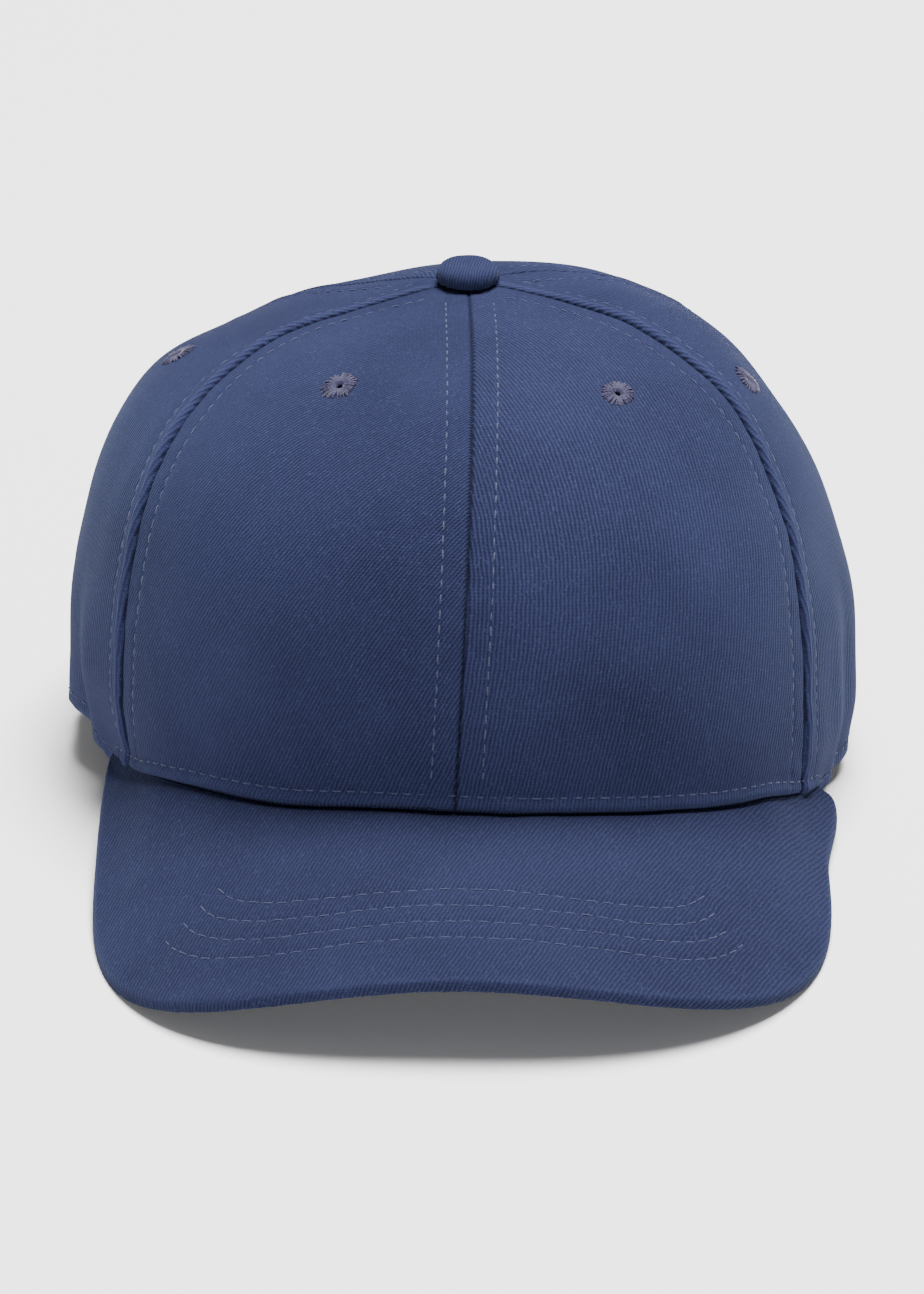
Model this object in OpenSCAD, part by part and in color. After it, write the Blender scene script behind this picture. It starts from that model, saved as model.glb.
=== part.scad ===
// Six-panel baseball cap with a curved bill and a fabric back strap with a hinged clamp buckle.
// Millimetres. The cap stands on z = 0, on the back of its rim and on the two tips of its bill.
// The origin is the centre of the rim's circle. The bill points to -Y, and the wearer's left is +X.

/* [Crown] */
// Radius of the crown's rim, outside
rim_radius = 97; // [92:0.5:100]
// Height of the crown's top above the rim's rest plane
crown_height = 118; // [110:1:130]
// How far back the crown's top lies from the rim's centre
crown_lean = 14; // [6:1:18]
// Thickness of one layer of twill in the panels
panel_thickness = 0.9; // [0.6:0.1:1.1]
// Radius of an eyelet's embroidered flange
eyelet_radius = 4.7; // [4:0.1:5.5]
// Radius of the fabric covered top button
button_radius = 7.6; // [6.5:0.1:8.5]

/* [Bill] */
// Length of the bill at its middle, from the crown to its edge
bill_length = 68; // [60:1:70]
// Half of the bill's width
bill_half_width = 87.3; // [84:0.1:90]
// Whole thickness of the bill
bill_thickness = 3.3; // [3:0.1:3.6]
// Radius of the bill's arch, seen from the front
bill_arch_radius = 150; // [145:1:200]
// Fall of the bill towards its front edge, in degrees
bill_slope = 8; // [5:0.5:10]
// Azimuth of the bill's corners on the rim, in degrees from the front
corner_azimuth = 65; // [64:0.5:68]

/* [Back closure] */
// Half of the width of the arched opening at the rim
arch_half_width = 39; // [36:0.5:41]
// Height of the arched opening
arch_height = 48; // [44:1:52]
// Width of the back strap
strap_width = 18; // [16:0.5:18]
// Thickness of the back strap
strap_thickness = 1.3; // [1.1:0.1:1.4]
// Radius of the buckle's hinge pin
pin_radius = 0.8; // [0.7:0.05:0.9]

/* [Sweatband] */
// Height of the sweatband
sweatband_height = 34; // [30:1:38]

/* [Hidden] */

navy = [0.16, 0.21, 0.38];
thread_navy = [0.20, 0.25, 0.43];
canvas_white = [0.86, 0.85, 0.82];
board_white = [0.9, 0.9, 0.88];
old_brass = [0.66, 0.54, 0.32];

// Profile powers of the crown: height and width, at the front and at the back
front_powers = [3.3, 3.4];
back_powers = [2.5, 1.85];
// Azimuths of the seams at the rim, from the front centre to the back centre, and their turn at the top
seam_azimuths = [0, 58.5, 119, 180];
seam_turns = [0, 14.5, 2, 0];
// Azimuth behind which the rim lies on the rest plane
rest_azimuth = 130;
// Elevation at which the panels end under the button
top_elevation = 88.8;
rings = 13;
panel_columns = 8;

// The bill's outline in plan: power of its front curve, and the y where its sides begin
bill_power = 3;
bill_side_y = -80;
bill_front_y = -rim_radius - bill_length * cos(bill_slope);
// Gap between the crown's rim and the bill's end at each corner
corner_gap = 1.5;
cover_thickness = 0.7;

// Layers inside the crown, measured inwards from its outer surface
layer_gap = 0.5;
buckram_thickness = 0.6;
buckram_inset = panel_thickness + layer_gap;
tape_thickness = 0.5;
tape_half_width = 6;
front_tape_inset = buckram_inset + buckram_thickness + layer_gap;
band_front_inset = front_tape_inset + tape_thickness + layer_gap;
band_back_inset = 5.1;
band_gap = 0.1;
stiffener_thickness = 0.8;
band_cover_thickness = 1;

// Topstitching
thread_radius = 0.3;
stitch_offset = 6;

// Angle from the back centre to each side of the arched opening at the rim
arch_angle = asin(arch_half_width / rim_radius);
arch_azimuth = 180 - arch_angle;

// The back strap is an arc about the Z axis, between the panels and the sweatband
strap_low = 3.5;
strap_high = strap_low + strap_width;
strap_outer = rim_radius - 2.2;
strap_inner = strap_outer - strap_thickness;
strap_end = -36;
strap_tail = 44;

// Buckle, placed by angles from the back centre towards +X
rail_height = 1.9;
buckle_low = strap_low - 0.4 - rail_height;
buckle_high = strap_high + 0.4 + rail_height;
hinge_angle = 8;
bar_angle = arch_angle - 1.9;
pin_centre = strap_outer + 0.4 + 1.5;
bar_centre = strap_inner - 0.3 - 1.5;

function lerp(a, b, t) = a + (b - a) * t;
function ease(t) = let (c = max(0, min(1, t))) c * c * (3 - 2 * c);
function last(list) = list[len(list) - 1];

// ---- The crown's surface ----

function front_share(azimuth) = (1 + cos(azimuth)) / 2;
function height_power(azimuth) = lerp(back_powers[0], front_powers[0], front_share(azimuth));
function width_power(azimuth) = lerp(back_powers[1], front_powers[1], front_share(azimuth));

// Distance from the centre to the curve x^p + y^q = 1 at an angle, found by halving
function reach(angle, q, p, low = 0.9, high = 1.5, tries = 16) =
    let (middle = (low + high) / 2)
    tries == 0 ? middle
    : pow(middle * sin(angle), q) + pow(middle * cos(angle), p) > 1
        ? reach(angle, q, p, low, middle, tries - 1)
        : reach(angle, q, p, middle, high, tries - 1);

// Height of the bill's top surface, relative to the front of the rim
function bill_drop(x, y) =
    (y + rim_radius) * tan(bill_slope) - x * x / (2 * bill_arch_radius);

// Plan of the bill's edge at a share from -1 to 1, drawn in by an inset
function bill_edge(share, inset = 0) =
    let (side = sign(share),
         across = abs(share) / 0.7,
         along = (abs(share) - 0.7) / 0.3,
         corner = [(rim_radius + corner_gap - inset) * sin(corner_azimuth),
                   -(rim_radius + corner_gap) * cos(corner_azimuth)],
         front = reach(90 * across, bill_power, bill_power))
    across <= 1
        ? [side * (bill_half_width - inset) * front * sin(90 * across),
           bill_side_y - (bill_side_y - bill_front_y - inset) * front * cos(90 * across)]
        : [side * lerp(bill_half_width - inset, corner[0], 1 - cos(90 * along)),
           lerp(bill_side_y, corner[1], sin(90 * along))];

// The lowest points of the bill are its two tips, and they lie on the rest plane.
// The edge is rounded by a small fold.
edge_fold = 0.6;
tip_drop = min([for (i = [0 : 60])
    let (p = bill_edge(i / 60, edge_fold)) bill_drop(p[0], p[1])]);
bill_seam_height = bill_thickness - tip_drop;
function bill_height(x, y) = bill_seam_height + bill_drop(x, y);
function seam_height(azimuth) =
    bill_height(rim_radius * sin(azimuth), -rim_radius * cos(azimuth));

// Height of the crown's lower edge: along the bill's seam, then down to the rest plane
function rim_height(azimuth) =
    let (a = abs(azimuth))
    a < corner_azimuth ? seam_height(a) - bill_thickness
    : (seam_height(corner_azimuth) - bill_thickness)
        * (1 - ease((a - corner_azimuth) / (rest_azimuth - corner_azimuth)));

function profile_point(azimuth, rise, width, inset) =
    let (base = rim_height(azimuth),
         z = base + (crown_height - inset - base) * rise,
         r = (rim_radius - inset) * width)
    [r * sin(azimuth), crown_lean * rise * rise - r * cos(azimuth), z];

// A point of the crown at an azimuth and an elevation, or at an azimuth and a height
function crown_point(azimuth, elevation, inset = 0) =
    let (far = reach(elevation, height_power(azimuth), width_power(azimuth)))
    profile_point(azimuth, far * sin(elevation), far * cos(elevation), inset);
function rise_at(azimuth, z, inset = 0) =
    (z - rim_height(azimuth)) / (crown_height - inset - rim_height(azimuth));
function width_at(azimuth, rise) =
    pow(1 - pow(max(0, rise), height_power(azimuth)), 1 / width_power(azimuth));
function wall_point(azimuth, z, inset = 0) =
    let (rise = rise_at(azimuth, z, inset))
    profile_point(azimuth, rise, width_at(azimuth, rise), inset);
function elevation_at(azimuth, z) =
    let (rise = rise_at(azimuth, z)) atan2(rise, width_at(azimuth, rise));

function seam_azimuth(seam, share) =
    seam_azimuths[seam] + seam_turns[seam] * share * share;
function girth(azimuth, elevation) =
    rim_radius * cos(elevation) * reach(elevation, height_power(azimuth), width_power(azimuth));

// ---- Solids from grids of points ----

// A closed solid between two grids. Seen from outside, columns run right and rows run up.
module sheet(outer, inner) {
    rows = len(outer);
    columns = len(outer[0]);
    far = rows * columns;
    top = (rows - 1) * columns;
    skins = [for (i = [0 : rows - 2], j = [0 : columns - 2])
        let (a = i * columns + j, b = a + 1, d = a + columns, c = d + 1)
        each [[a, d, c], [a, c, b], [far + a, far + c, far + d], [far + a, far + b, far + c]]];
    ends = [for (j = [0 : columns - 2])
        let (a = j, b = j + 1, d = top + j, c = d + 1)
        each [[a, b, far + b], [a, far + b, far + a], [c, d, far + d], [c, far + d, far + c]]];
    sides = [for (i = [0 : rows - 2])
        let (a = i * columns, d = a + columns, b = a + columns - 1, c = b + columns)
        each [[d, a, far + a], [d, far + a, far + d], [b, c, far + b], [c, far + c, far + b]]];
    polyhedron([each for (row = outer) row, each for (row = inner) row],
        concat(skins, ends, sides));
}

// A thread or a cord with a round section of a few sides along a list of points
module thread(path, radius = thread_radius, sides = 4) {
    count = len(path);
    points = [for (i = [0 : count - 1])
        let (ahead = path[min(count - 1, i + 1)] - path[max(0, i - 1)],
             way = ahead / norm(ahead),
             across = cross(way, [0, 0, 1]),
             right = across / norm(across),
             up = cross(right, way))
        for (k = [0 : sides - 1])
            path[i] + radius * (right * cos(360 * k / sides) + up * sin(360 * k / sides))];
    walls = [for (i = [0 : count - 2], k = [0 : sides - 1])
        let (a = i * sides + k, b = i * sides + (k + 1) % sides, c = b + sides, d = a + sides)
        each [[a, b, c], [a, c, d]]];
    first = [for (k = [sides - 1 : -1 : 0]) k];
    end = [for (k = [0 : sides - 1]) (count - 1) * sides + k];
    polyhedron(points, concat(walls, [first], [end]));
}

// An arc about the Z axis, by angles from the back centre towards +X
module back_arc(from, to, inner, outer, low, high) {
    rotate([0, 0, 90 - to])
        rotate_extrude(angle = to - from, $fn = 240)
            translate([inner, low]) square([outer - inner, high - low]);
}

module at_back(angle, radius) {
    rotate([0, 0, 90 - angle]) translate([radius, 0, 0]) children();
}

// ---- Crown panels ----

// Columns of the panels' lower edge: [share of the way across the panel, elevation]
level_edge = [for (j = [0 : panel_columns]) [j / panel_columns, 0]];
arch_steps = 12;
arched_edge = concat(
    [for (j = [0 : 4])
        [lerp(0, arch_azimuth - seam_azimuths[2], j / 5) / (180 - seam_azimuths[2]), 0]],
    [for (j = [0 : arch_steps])
        let (turn = 90 * j / arch_steps,
             azimuth = 180 - asin(arch_half_width * cos(turn) / rim_radius))
        [(azimuth - seam_azimuths[2]) / (180 - seam_azimuths[2]),
         elevation_at(azimuth, arch_height * sin(turn))]]);

// Points of a panel between a seam and the next one
function panel_grid(seam, edge, inset, top = 1) =
    [for (i = [0 : rings])
        let (share = top * i / rings)
        [for (j = [0 : len(edge) - 1])
            let (even = lerp(edge[0][0], last(edge)[0], j / (len(edge) - 1)),
                 across = lerp(edge[j][0], even, share),
                 azimuth = lerp(seam_azimuth(seam, share), seam_azimuth(seam + 1, share), across))
            crown_point(azimuth, lerp(edge[j][1], top_elevation, share), inset)]];

module crown_panel(seam, edge) {
    color(navy) sheet(panel_grid(seam, edge, 0), panel_grid(seam, edge, panel_thickness));
}

// A place on the crown, with the local Z axis along the surface's outward normal
module on_crown(azimuth, elevation) {
    p = crown_point(azimuth, elevation);
    east = crown_point(azimuth + 1, elevation) - p;
    north = crown_point(azimuth, elevation + 1) - p;
    normal = cross(east, north) / norm(cross(east, north));
    translate(p)
        rotate([0, acos(normal[2]), atan2(normal[1], normal[0])]) children();
}

// Azimuth and elevation of the eyelet in each pair of panels
eyelet_places = [[35, 56], [82, 51], [149, 48]];

module eyelet_hole(pair, radius) {
    on_crown(eyelet_places[pair][0], eyelet_places[pair][1])
        cylinder(h = 8, r = radius, center = true, $fn = 32);
}

module punched_panel(pair, edge) {
    difference() {
        crown_panel(pair, edge);
        eyelet_hole(pair, 2.8);
    }
}

// Embroidered ring that binds a vent hole: a barrel through the panel and a rounded flange
module eyelet(pair) {
    color(thread_navy)
        on_crown(eyelet_places[pair][0], eyelet_places[pair][1])
            rotate_extrude($fn = 40)
                polygon([[1, -1.4], [2.6, -1.4], [2.6, 0.3], [eyelet_radius, 0.3],
                         [eyelet_radius - 0.3, 0.8], [2.9, 1.2], [1.5, 1], [1, 0.4]]);
}

module mirrored() {
    mirror([1, 0, 0]) children();
}

// Stiff fabric behind a front panel
buckram_edge = [for (j = [0 : 6]) [lerp(0.03, 0.97, j / 6), 1.5]];
module front_buckram() {
    color(canvas_white)
        difference() {
            sheet(panel_grid(0, buckram_edge, buckram_inset, 0.92),
                panel_grid(0, buckram_edge, buckram_inset + buckram_thickness, 0.92));
            eyelet_hole(0, 3.2);
        }
}

// ---- Seam tapes and topstitching ----

// Points beside a seam: 0 on it, and up to 1 on either side of it
function seam_strip(seam, from, to, steps, half_width, inset, places) =
    [for (i = [0 : steps])
        let (share = lerp(from, to, i / steps),
             elevation = top_elevation * share,
             azimuth = seam_azimuth(seam, share),
             turn = half_width / girth(azimuth, elevation) * 180 / PI)
        [for (place = places) crown_point(azimuth + place * turn, elevation, inset)]];

module seam_tape(seam, inset, from, to) {
    color(navy)
        sheet(seam_strip(seam, from, to, 12, tape_half_width, inset, [-1, 0, 1]),
            seam_strip(seam, from, to, 12, tape_half_width, inset + tape_thickness, [-1, 0, 1]));
}

// Share of the panels' height at which the back centre seam begins, above the arch
arch_top_share = elevation_at(180, arch_height) / top_elevation;

module seam_stitches(seam, from, places) {
    strip = seam_strip(seam, from, 0.86, 24, stitch_offset, -thread_radius, places);
    for (k = [0 : len(places) - 1])
        thread([for (row = strip) row[k]]);
}

module panel_topstitch() {
    color(thread_navy) {
        seam_stitches(0, 0.1, [-1, 1]);
        seam_stitches(3, arch_top_share + 0.09, [-1, 1]);
        for (seam = [1, 2]) {
            seam_stitches(seam, 0.06, [-1, 1]);
            mirrored() seam_stitches(seam, 0.06, [-1, 1]);
        }
    }
}

// One row above the rim, which also holds the sweatband. It rides up over the bill's seam.
module brim_topstitch() {
    reach_azimuth = arch_azimuth - 4;
    steps = 90;
    color(thread_navy)
        thread([for (i = [0 : steps])
            let (azimuth = lerp(-reach_azimuth, reach_azimuth, i / steps),
                 lift = bill_thickness * ease((corner_azimuth + 6 - abs(azimuth)) / 8))
            wall_point(azimuth, rim_height(azimuth) + 4 + lift, -thread_radius)]);
}

// ---- Binding of the back arch ----

// A tape folded round the panels' edge: outer ply, fold and inner ply
module arch_binding() {
    steps = 28;
    ply = 0.35;
    cover = 6;
    gap = 0.3;
    fold_gap = 0.7;
    function arch_point(turn, grow, inset) =
        wall_point(180 - asin((arch_half_width + grow) * cos(turn) / rim_radius),
            max(0, (arch_height + grow) * sin(turn)), inset);
    section = [[cover, -ply - gap], [-ply - fold_gap, -ply - gap],
               [-ply - fold_gap, panel_thickness + ply + gap],
               [cover, panel_thickness + ply + gap], [cover, panel_thickness + gap],
               [-fold_gap, panel_thickness + gap], [-fold_gap, -gap], [cover, -gap]];
    count = len(section);
    points = [for (i = [0 : steps], k = [0 : count - 1])
        arch_point(180 * i / steps, section[k][0], section[k][1])];
    walls = [for (i = [0 : steps - 1], k = [0 : count - 1])
        let (a = i * count + k, b = i * count + (k + 1) % count, c = b + count, d = a + count)
        each [[a, b, c], [a, c, d]]];
    first = [for (k = [count - 1 : -1 : 0]) k];
    end = [for (k = [0 : count - 1]) steps * count + k];
    color(navy) polyhedron(points, concat(walls, [first], [end]));
}

// ---- Top button ----

module at_top() {
    translate([0, crown_lean, crown_height]) children();
}

// Fabric drawn over the button's shell and gathered under it
module button_cover() {
    lift = 0.4;
    color(navy) at_top() rotate_extrude($fn = 64)
        polygon(concat(
            [for (a = [0 : 10 : 90])
                [button_radius * cos(a), lift + 1 + 3.6 * sin(a)]],
            [[0, lift + 4], for (a = [80 : -10 : 0])
                [(button_radius - 0.6) * cos(a), lift + 1 + 3 * sin(a)]],
            [[button_radius - 0.6, lift + 0.6], [4, lift + 0.6], [4, lift],
             [button_radius - 0.4, lift]]));
}

module button_shell() {
    lift = 1.1;
    color("silver") at_top() rotate_extrude($fn = 64)
        polygon(concat([[1.25, lift], [button_radius - 0.8, lift]],
            [for (a = [0 : 15 : 75])
                [(button_radius - 0.8) * cos(a), lift + 0.4 + 2.7 * sin(a)]],
            [[1.25, lift + 3]]));
}

module button_prong() {
    color("silver") at_top() translate([0, 0, -2.6]) cylinder(h = 6.5, r = 1.2, $fn = 32);
}

module button_washer() {
    color("silver") at_top() translate([0, 0, -2.4])
        difference() {
            cylinder(h = 0.8, r = 6, $fn = 48);
            translate([0, 0, -1]) cylinder(h = 3, r = 1.25, $fn = 32);
        }
}

// ---- Sweatband ----

// The sweatband stops short of the arched opening on each side
band_end = arch_azimuth - 1.3;
band_columns = 44;

// Distance of the sweatband from the crown's outer surface: wide at the back, where the strap runs
function band_inset(azimuth) =
    lerp(band_front_inset, band_back_inset, ease((abs(azimuth) - 116) / 14));

function band_grid(extra, low, high) =
    [for (i = [0 : 4])
        [for (j = [0 : band_columns])
            let (azimuth = lerp(-band_end, band_end, j / band_columns))
            wall_point(azimuth, rim_height(azimuth) + lerp(low, high, i / 4),
                band_inset(azimuth) + extra)]];

module sweatband_stiffener() {
    color(canvas_white)
        sheet(band_grid(0, 1, sweatband_height - 1),
            band_grid(stiffener_thickness, 1, sweatband_height - 1));
}

module sweatband_cover() {
    inset = stiffener_thickness + band_gap;
    color(navy)
        sheet(band_grid(inset, 0.3, sweatband_height),
            band_grid(inset + band_cover_thickness, 0.3, sweatband_height));
}

// ---- Bill ----

bill_columns = 42;
bill_rows = 7;
row_power = 4.2;

// A point of the bill: across from -1 to 1, out from the seam (0) to the edge (1)
function bill_point(across, out, inset, depth) =
    let (edge = bill_edge(across, inset),
         azimuth = corner_azimuth * across,
         seam = (rim_radius + 0.1) * [sin(azimuth), -cos(azimuth)],
         p = lerp(seam, edge, out))
    [p[0], p[1], bill_height(p[0], p[1]) - depth];

function bill_grid(inset, depth, start = 0) =
    [for (i = [0 : bill_rows])
        [for (j = [0 : bill_columns])
            bill_point(1 - 2 * j / bill_columns, lerp(start, 1, i / bill_rows), inset, depth)]];
function bill_rim(inset, depth) =
    [for (j = [0 : bill_columns]) bill_point(1 - 2 * j / bill_columns, 1, inset, depth)];

// The board stops short of the seam, where only the covers are sewn to the crown
module bill_board() {
    start = 0.05;
    color(board_white)
        sheet(bill_grid(1, cover_thickness + 0.05, start),
            bill_grid(1, bill_thickness - cover_thickness - 0.05, start));
}

// The top cover wraps round the board's edge
module bill_top_cover() {
    wrap = cover_thickness + 0.2;
    color(navy)
        sheet(
            concat(bill_grid(edge_fold, 0),
                [bill_rim(0, 0.8), bill_rim(0, bill_thickness - 0.8), bill_rim(edge_fold, bill_thickness)]),
            concat(bill_grid(wrap, cover_thickness),
                [bill_rim(wrap, 1.2), bill_rim(wrap, bill_thickness - 1.2),
                 bill_rim(wrap, bill_thickness - 0.1)]));
}

module bill_bottom_cover() {
    color(navy)
        sheet(bill_grid(1, bill_thickness - cover_thickness), bill_grid(1, bill_thickness));
}

// Plan of a row of stitching: squarer than the bill's edge, from angle -54 to 54 of its curve
function row_point(share, inset) =
    let (angle = 54 * abs(share),
         half = bill_half_width - 6 - 0.6 * inset,
         front = reach(angle, row_power, row_power))
    [sign(share) * half * front * sin(angle),
     bill_side_y - (bill_side_y - bill_front_y - inset) * front * cos(angle)];

// Four rows of stitching along the front of the bill
module bill_stitching() {
    first_inset = 17;
    spacing = 6.1;
    color(thread_navy)
        for (row = [0 : 3])
            thread([for (i = [0 : 40])
                let (p = row_point(lerp(-1, 1, i / 40), first_inset + spacing * row))
                [p[0], p[1], bill_height(p[0], p[1]) + thread_radius]]);
}

// ---- Back strap and buckle ----

module back_strap() {
    color(navy)
        back_arc(strap_end, strap_tail, strap_inner, strap_outer, strap_low, strap_high);
}

// Two rows of stitching on the strap's outer face
module strap_stitching() {
    color(thread_navy)
        for (z = [strap_low + 2, strap_high - 2 - 0.5])
            back_arc(strap_end + 14, strap_tail - 14, strap_outer, strap_outer + 0.1, z, z + 0.5);
}

// Fabric tab that holds the buckle's bar in an eye and is sewn in under the panel
module buckle_tab() {
    low = strap_low + 0.2;
    high = strap_high - 0.2;
    color(navy)
        difference() {
            union() {
                at_back(bar_angle, bar_centre)
                    translate([0, 0, low]) cylinder(h = high - low, r = 1.5, $fn = 32);
                back_arc(bar_angle + 0.55, 38, bar_centre + 0.4, bar_centre + 1.2,
                    low + 0.1, high - 0.1);
            }
            at_back(bar_angle, bar_centre) cylinder(h = 60, r = 0.85, center = true, $fn = 32);
        }
}

// Two rails with an ear for the pin, joined by a plate and by the bar that the tab holds.
// They run in under the bound edge of the arch.
module buckle_frame() {
    module rail(low) {
        back_arc(hinge_angle - 2, bar_angle + 0.9, bar_centre - 0.9, strap_outer + 0.1,
            low, low + rail_height);
        back_arc(hinge_angle - 1.3, hinge_angle + 1.3, strap_outer - 0.6, pin_centre + 1.8,
            low + 0.1, low + rail_height - 0.1);
    }
    color(old_brass)
        difference() {
            union() {
                rail(buckle_low);
                rail(buckle_high - rail_height);
                back_arc(hinge_angle - 1.8, hinge_angle + 3, bar_centre, strap_inner - 0.3,
                    buckle_low + 0.1, buckle_high - 0.1);
                at_back(bar_angle, bar_centre)
                    translate([0, 0, buckle_low])
                        cylinder(h = buckle_high - buckle_low, r = 0.8, $fn = 32);
            }
            at_back(hinge_angle, pin_centre)
                cylinder(h = 80, r = pin_radius + 0.01, center = true, $fn = 48);
        }
}

// Curved flap on the pin, with a turned-out lip at its free end
module buckle_lever() {
    low = strap_low + 0.1;
    high = strap_high - 0.1;
    plate_inner = strap_outer + 0.5;
    color(old_brass)
        difference() {
            union() {
                at_back(hinge_angle, pin_centre)
                    translate([0, 0, low]) cylinder(h = high - low, r = 1.5, $fn = 48);
                back_arc(hinge_angle - 0.3, hinge_angle + 11.5, plate_inner, plate_inner + 1.1,
                    low + 0.2, high - 0.2);
                back_arc(hinge_angle + 10.7, hinge_angle + 11.8, plate_inner + 0.3, plate_inner + 2.2,
                    low + 1, high - 1);
            }
            at_back(hinge_angle, pin_centre)
                cylinder(h = 80, r = pin_radius + 0.05, center = true, $fn = 48);
        }
}

module buckle_pin() {
    color("silver")
        at_back(hinge_angle, pin_centre)
            translate([0, 0, buckle_low - 0.2])
                cylinder(h = buckle_high - buckle_low + 0.4, r = pin_radius, $fn = 48);
}

punched_panel(0, level_edge);  // front_left_panel
mirrored() punched_panel(0, level_edge);  // front_right_panel
punched_panel(1, level_edge);  // side_left_panel
mirrored() punched_panel(1, level_edge);  // side_right_panel
punched_panel(2, arched_edge);  // back_left_panel
mirrored() punched_panel(2, arched_edge);  // back_right_panel
front_buckram();  // front_left_buckram
mirrored() front_buckram();  // front_right_buckram
seam_tape(0, front_tape_inset, 0.02, 0.9);  // front_seam_tape
seam_tape(1, front_tape_inset, 0.02, 0.88);  // front_left_seam_tape
mirrored() seam_tape(1, front_tape_inset, 0.02, 0.88);  // front_right_seam_tape
seam_tape(2, buckram_inset, 0.02, 0.88);  // back_left_seam_tape
mirrored() seam_tape(2, buckram_inset, 0.02, 0.88);  // back_right_seam_tape
seam_tape(3, buckram_inset, arch_top_share + 0.08, 0.88);  // back_seam_tape
arch_binding();
button_cover();
button_shell();
button_prong();
button_washer();
eyelet(0);  // front_left_eyelet
mirrored() eyelet(0);  // front_right_eyelet
eyelet(1);  // side_left_eyelet
mirrored() eyelet(1);  // side_right_eyelet
eyelet(2);  // back_left_eyelet
mirrored() eyelet(2);  // back_right_eyelet
sweatband_stiffener();
sweatband_cover();
bill_board();
bill_top_cover();
bill_bottom_cover();
bill_stitching();
brim_topstitch();
panel_topstitch();
back_strap();
strap_stitching();
buckle_tab();
buckle_frame();
buckle_lever();
buckle_pin();
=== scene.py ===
"""Looks of the baseball cap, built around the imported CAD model.

Metres in Blender, millimetres inside the shape functions. +Z is up, the bill points to -Y.
Angles are degrees: an azimuth is 0 at the front and grows towards +X, 180 at the back.
"""
import math

import bpy
import numpy as np
from mathutils import Matrix, Vector


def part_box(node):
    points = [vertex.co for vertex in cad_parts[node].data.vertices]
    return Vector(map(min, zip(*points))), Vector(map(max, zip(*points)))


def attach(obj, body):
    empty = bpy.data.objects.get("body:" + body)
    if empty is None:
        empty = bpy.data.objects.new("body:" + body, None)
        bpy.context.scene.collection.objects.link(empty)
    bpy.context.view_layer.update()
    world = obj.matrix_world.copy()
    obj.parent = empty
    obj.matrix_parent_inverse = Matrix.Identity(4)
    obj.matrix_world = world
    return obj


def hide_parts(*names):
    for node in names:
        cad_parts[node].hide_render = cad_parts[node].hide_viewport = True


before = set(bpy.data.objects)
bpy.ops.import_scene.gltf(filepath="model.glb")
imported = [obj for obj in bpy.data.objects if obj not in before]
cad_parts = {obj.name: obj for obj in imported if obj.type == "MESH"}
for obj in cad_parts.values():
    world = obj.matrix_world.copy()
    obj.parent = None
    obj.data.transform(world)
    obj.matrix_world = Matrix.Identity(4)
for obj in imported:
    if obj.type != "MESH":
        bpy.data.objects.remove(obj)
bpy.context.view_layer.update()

MM = 0.001
random = np.random.default_rng(11)


def box_mm(node):
    """Lowest and highest corner of a CAD node, in millimetres."""
    low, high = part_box(node)
    return np.array(low) / MM, np.array(high) / MM


# ---- Sizes ----

side_box = box_mm("side_left_panel")
button_box = box_mm("button_cover")
binding_box = box_mm("arch_binding")
strap_box = box_mm("back_strap")
bill_box = box_mm("bill_top_cover")

RIM_RADIUS = round(side_box[1][0], 1)
CROWN_HEIGHT = side_box[1][2]
CROWN_LEAN = (button_box[0][1] + button_box[1][1]) / 2
PANEL_THICKNESS = 0.9

BILL_THICKNESS = 3.3
BILL_FRONT_Y = bill_box[0][1]
BILL_HALF_WIDTH = 87.3
BILL_SPREAD = 1.0
BILL_BULGE = 3.2
BILL_SIDE_Y = -80.0
BILL_POWERS = (3.3, 2.8)
BILL_SLOPE = 8.0
BILL_ARCH_RADIUS = 150.0
BILL_SEAM_HEIGHT = bill_box[1][2]
CORNER_AZIMUTH = 65.0
CORNER_GAP = 1.5
REST_AZIMUTH = 130.0
RIM_HITCH = 6.0
COVER_THICKNESS = 0.7

BINDING_WIDTH = 6.0
BINDING_ROW = 4.4
ARCH_HALF_WIDTH = 39.0
ARCH_HEIGHT = binding_box[1][2] - BINDING_WIDTH
ARCH_ANGLE = math.degrees(math.asin(ARCH_HALF_WIDTH / RIM_RADIUS))

FRONT_POWERS = (3.3, 3.4)
BACK_POWERS = (2.5, 1.85)
SEAM_AZIMUTHS = (0.0, 58.5, 119.0, 180.0)
SEAM_TURNS = {1: (0.0, 15.3, 2.0, 0.0), -1: (0.0, 16.5, 2.0, 0.0)}
TOP_ELEVATION = 88.8
EYELET_PLACES = {(0, 1): (36.2, 56.0), (0, -1): (31.6, 57.2), (1, 1): (77.6, 49.6), (1, -1): (90.4, 48.5),
                 (2, 1): (149.0, 48.0), (2, -1): (149.0, 48.0)}
EYELET_RADIUS = 4.4
EYELET_HOLE = 1.3

# Layers inside the crown, from its outer surface inwards
BUCKRAM_INSET = 1.4
BUCKRAM_THICKNESS = 0.6
FRONT_TAPE_INSET = 2.5
TAPE_THICKNESS = 0.5
BAND_FRONT_INSET = 3.5
BAND_BACK_INSET = 5.1
STIFFENER_THICKNESS = 0.8
BAND_HEIGHT = 34.0
BAND_ROWS = (4.0, 30.5)
BAND_END = 180 - ARCH_ANGLE - 1.3

# The strap is an arc about the Z axis, by angles from the back centre towards +X
STRAP_THICKNESS = 1.3
STRAP_WIDTH = 18.0
STRAP_OUTER = strap_box[1][1]
STRAP_INNER = STRAP_OUTER - STRAP_THICKNESS
STRAP_LOW, STRAP_HIGH = strap_box[0][2], strap_box[1][2]
STRAP_END, STRAP_TAIL = -36.0, 44.0
BAR_ANGLE = ARCH_ANGLE - 1.9
BAR_RADIUS = STRAP_INNER - 1.8

STITCH_OFFSET = 6.0
THREAD_RADIUS = 0.17
BILL_ROW_INSETS = (17.0, 23.1, 29.2, 35.3)
BILL_ROW_POWER = 4.2
BILL_ROW_ANGLE = 54.0


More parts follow.
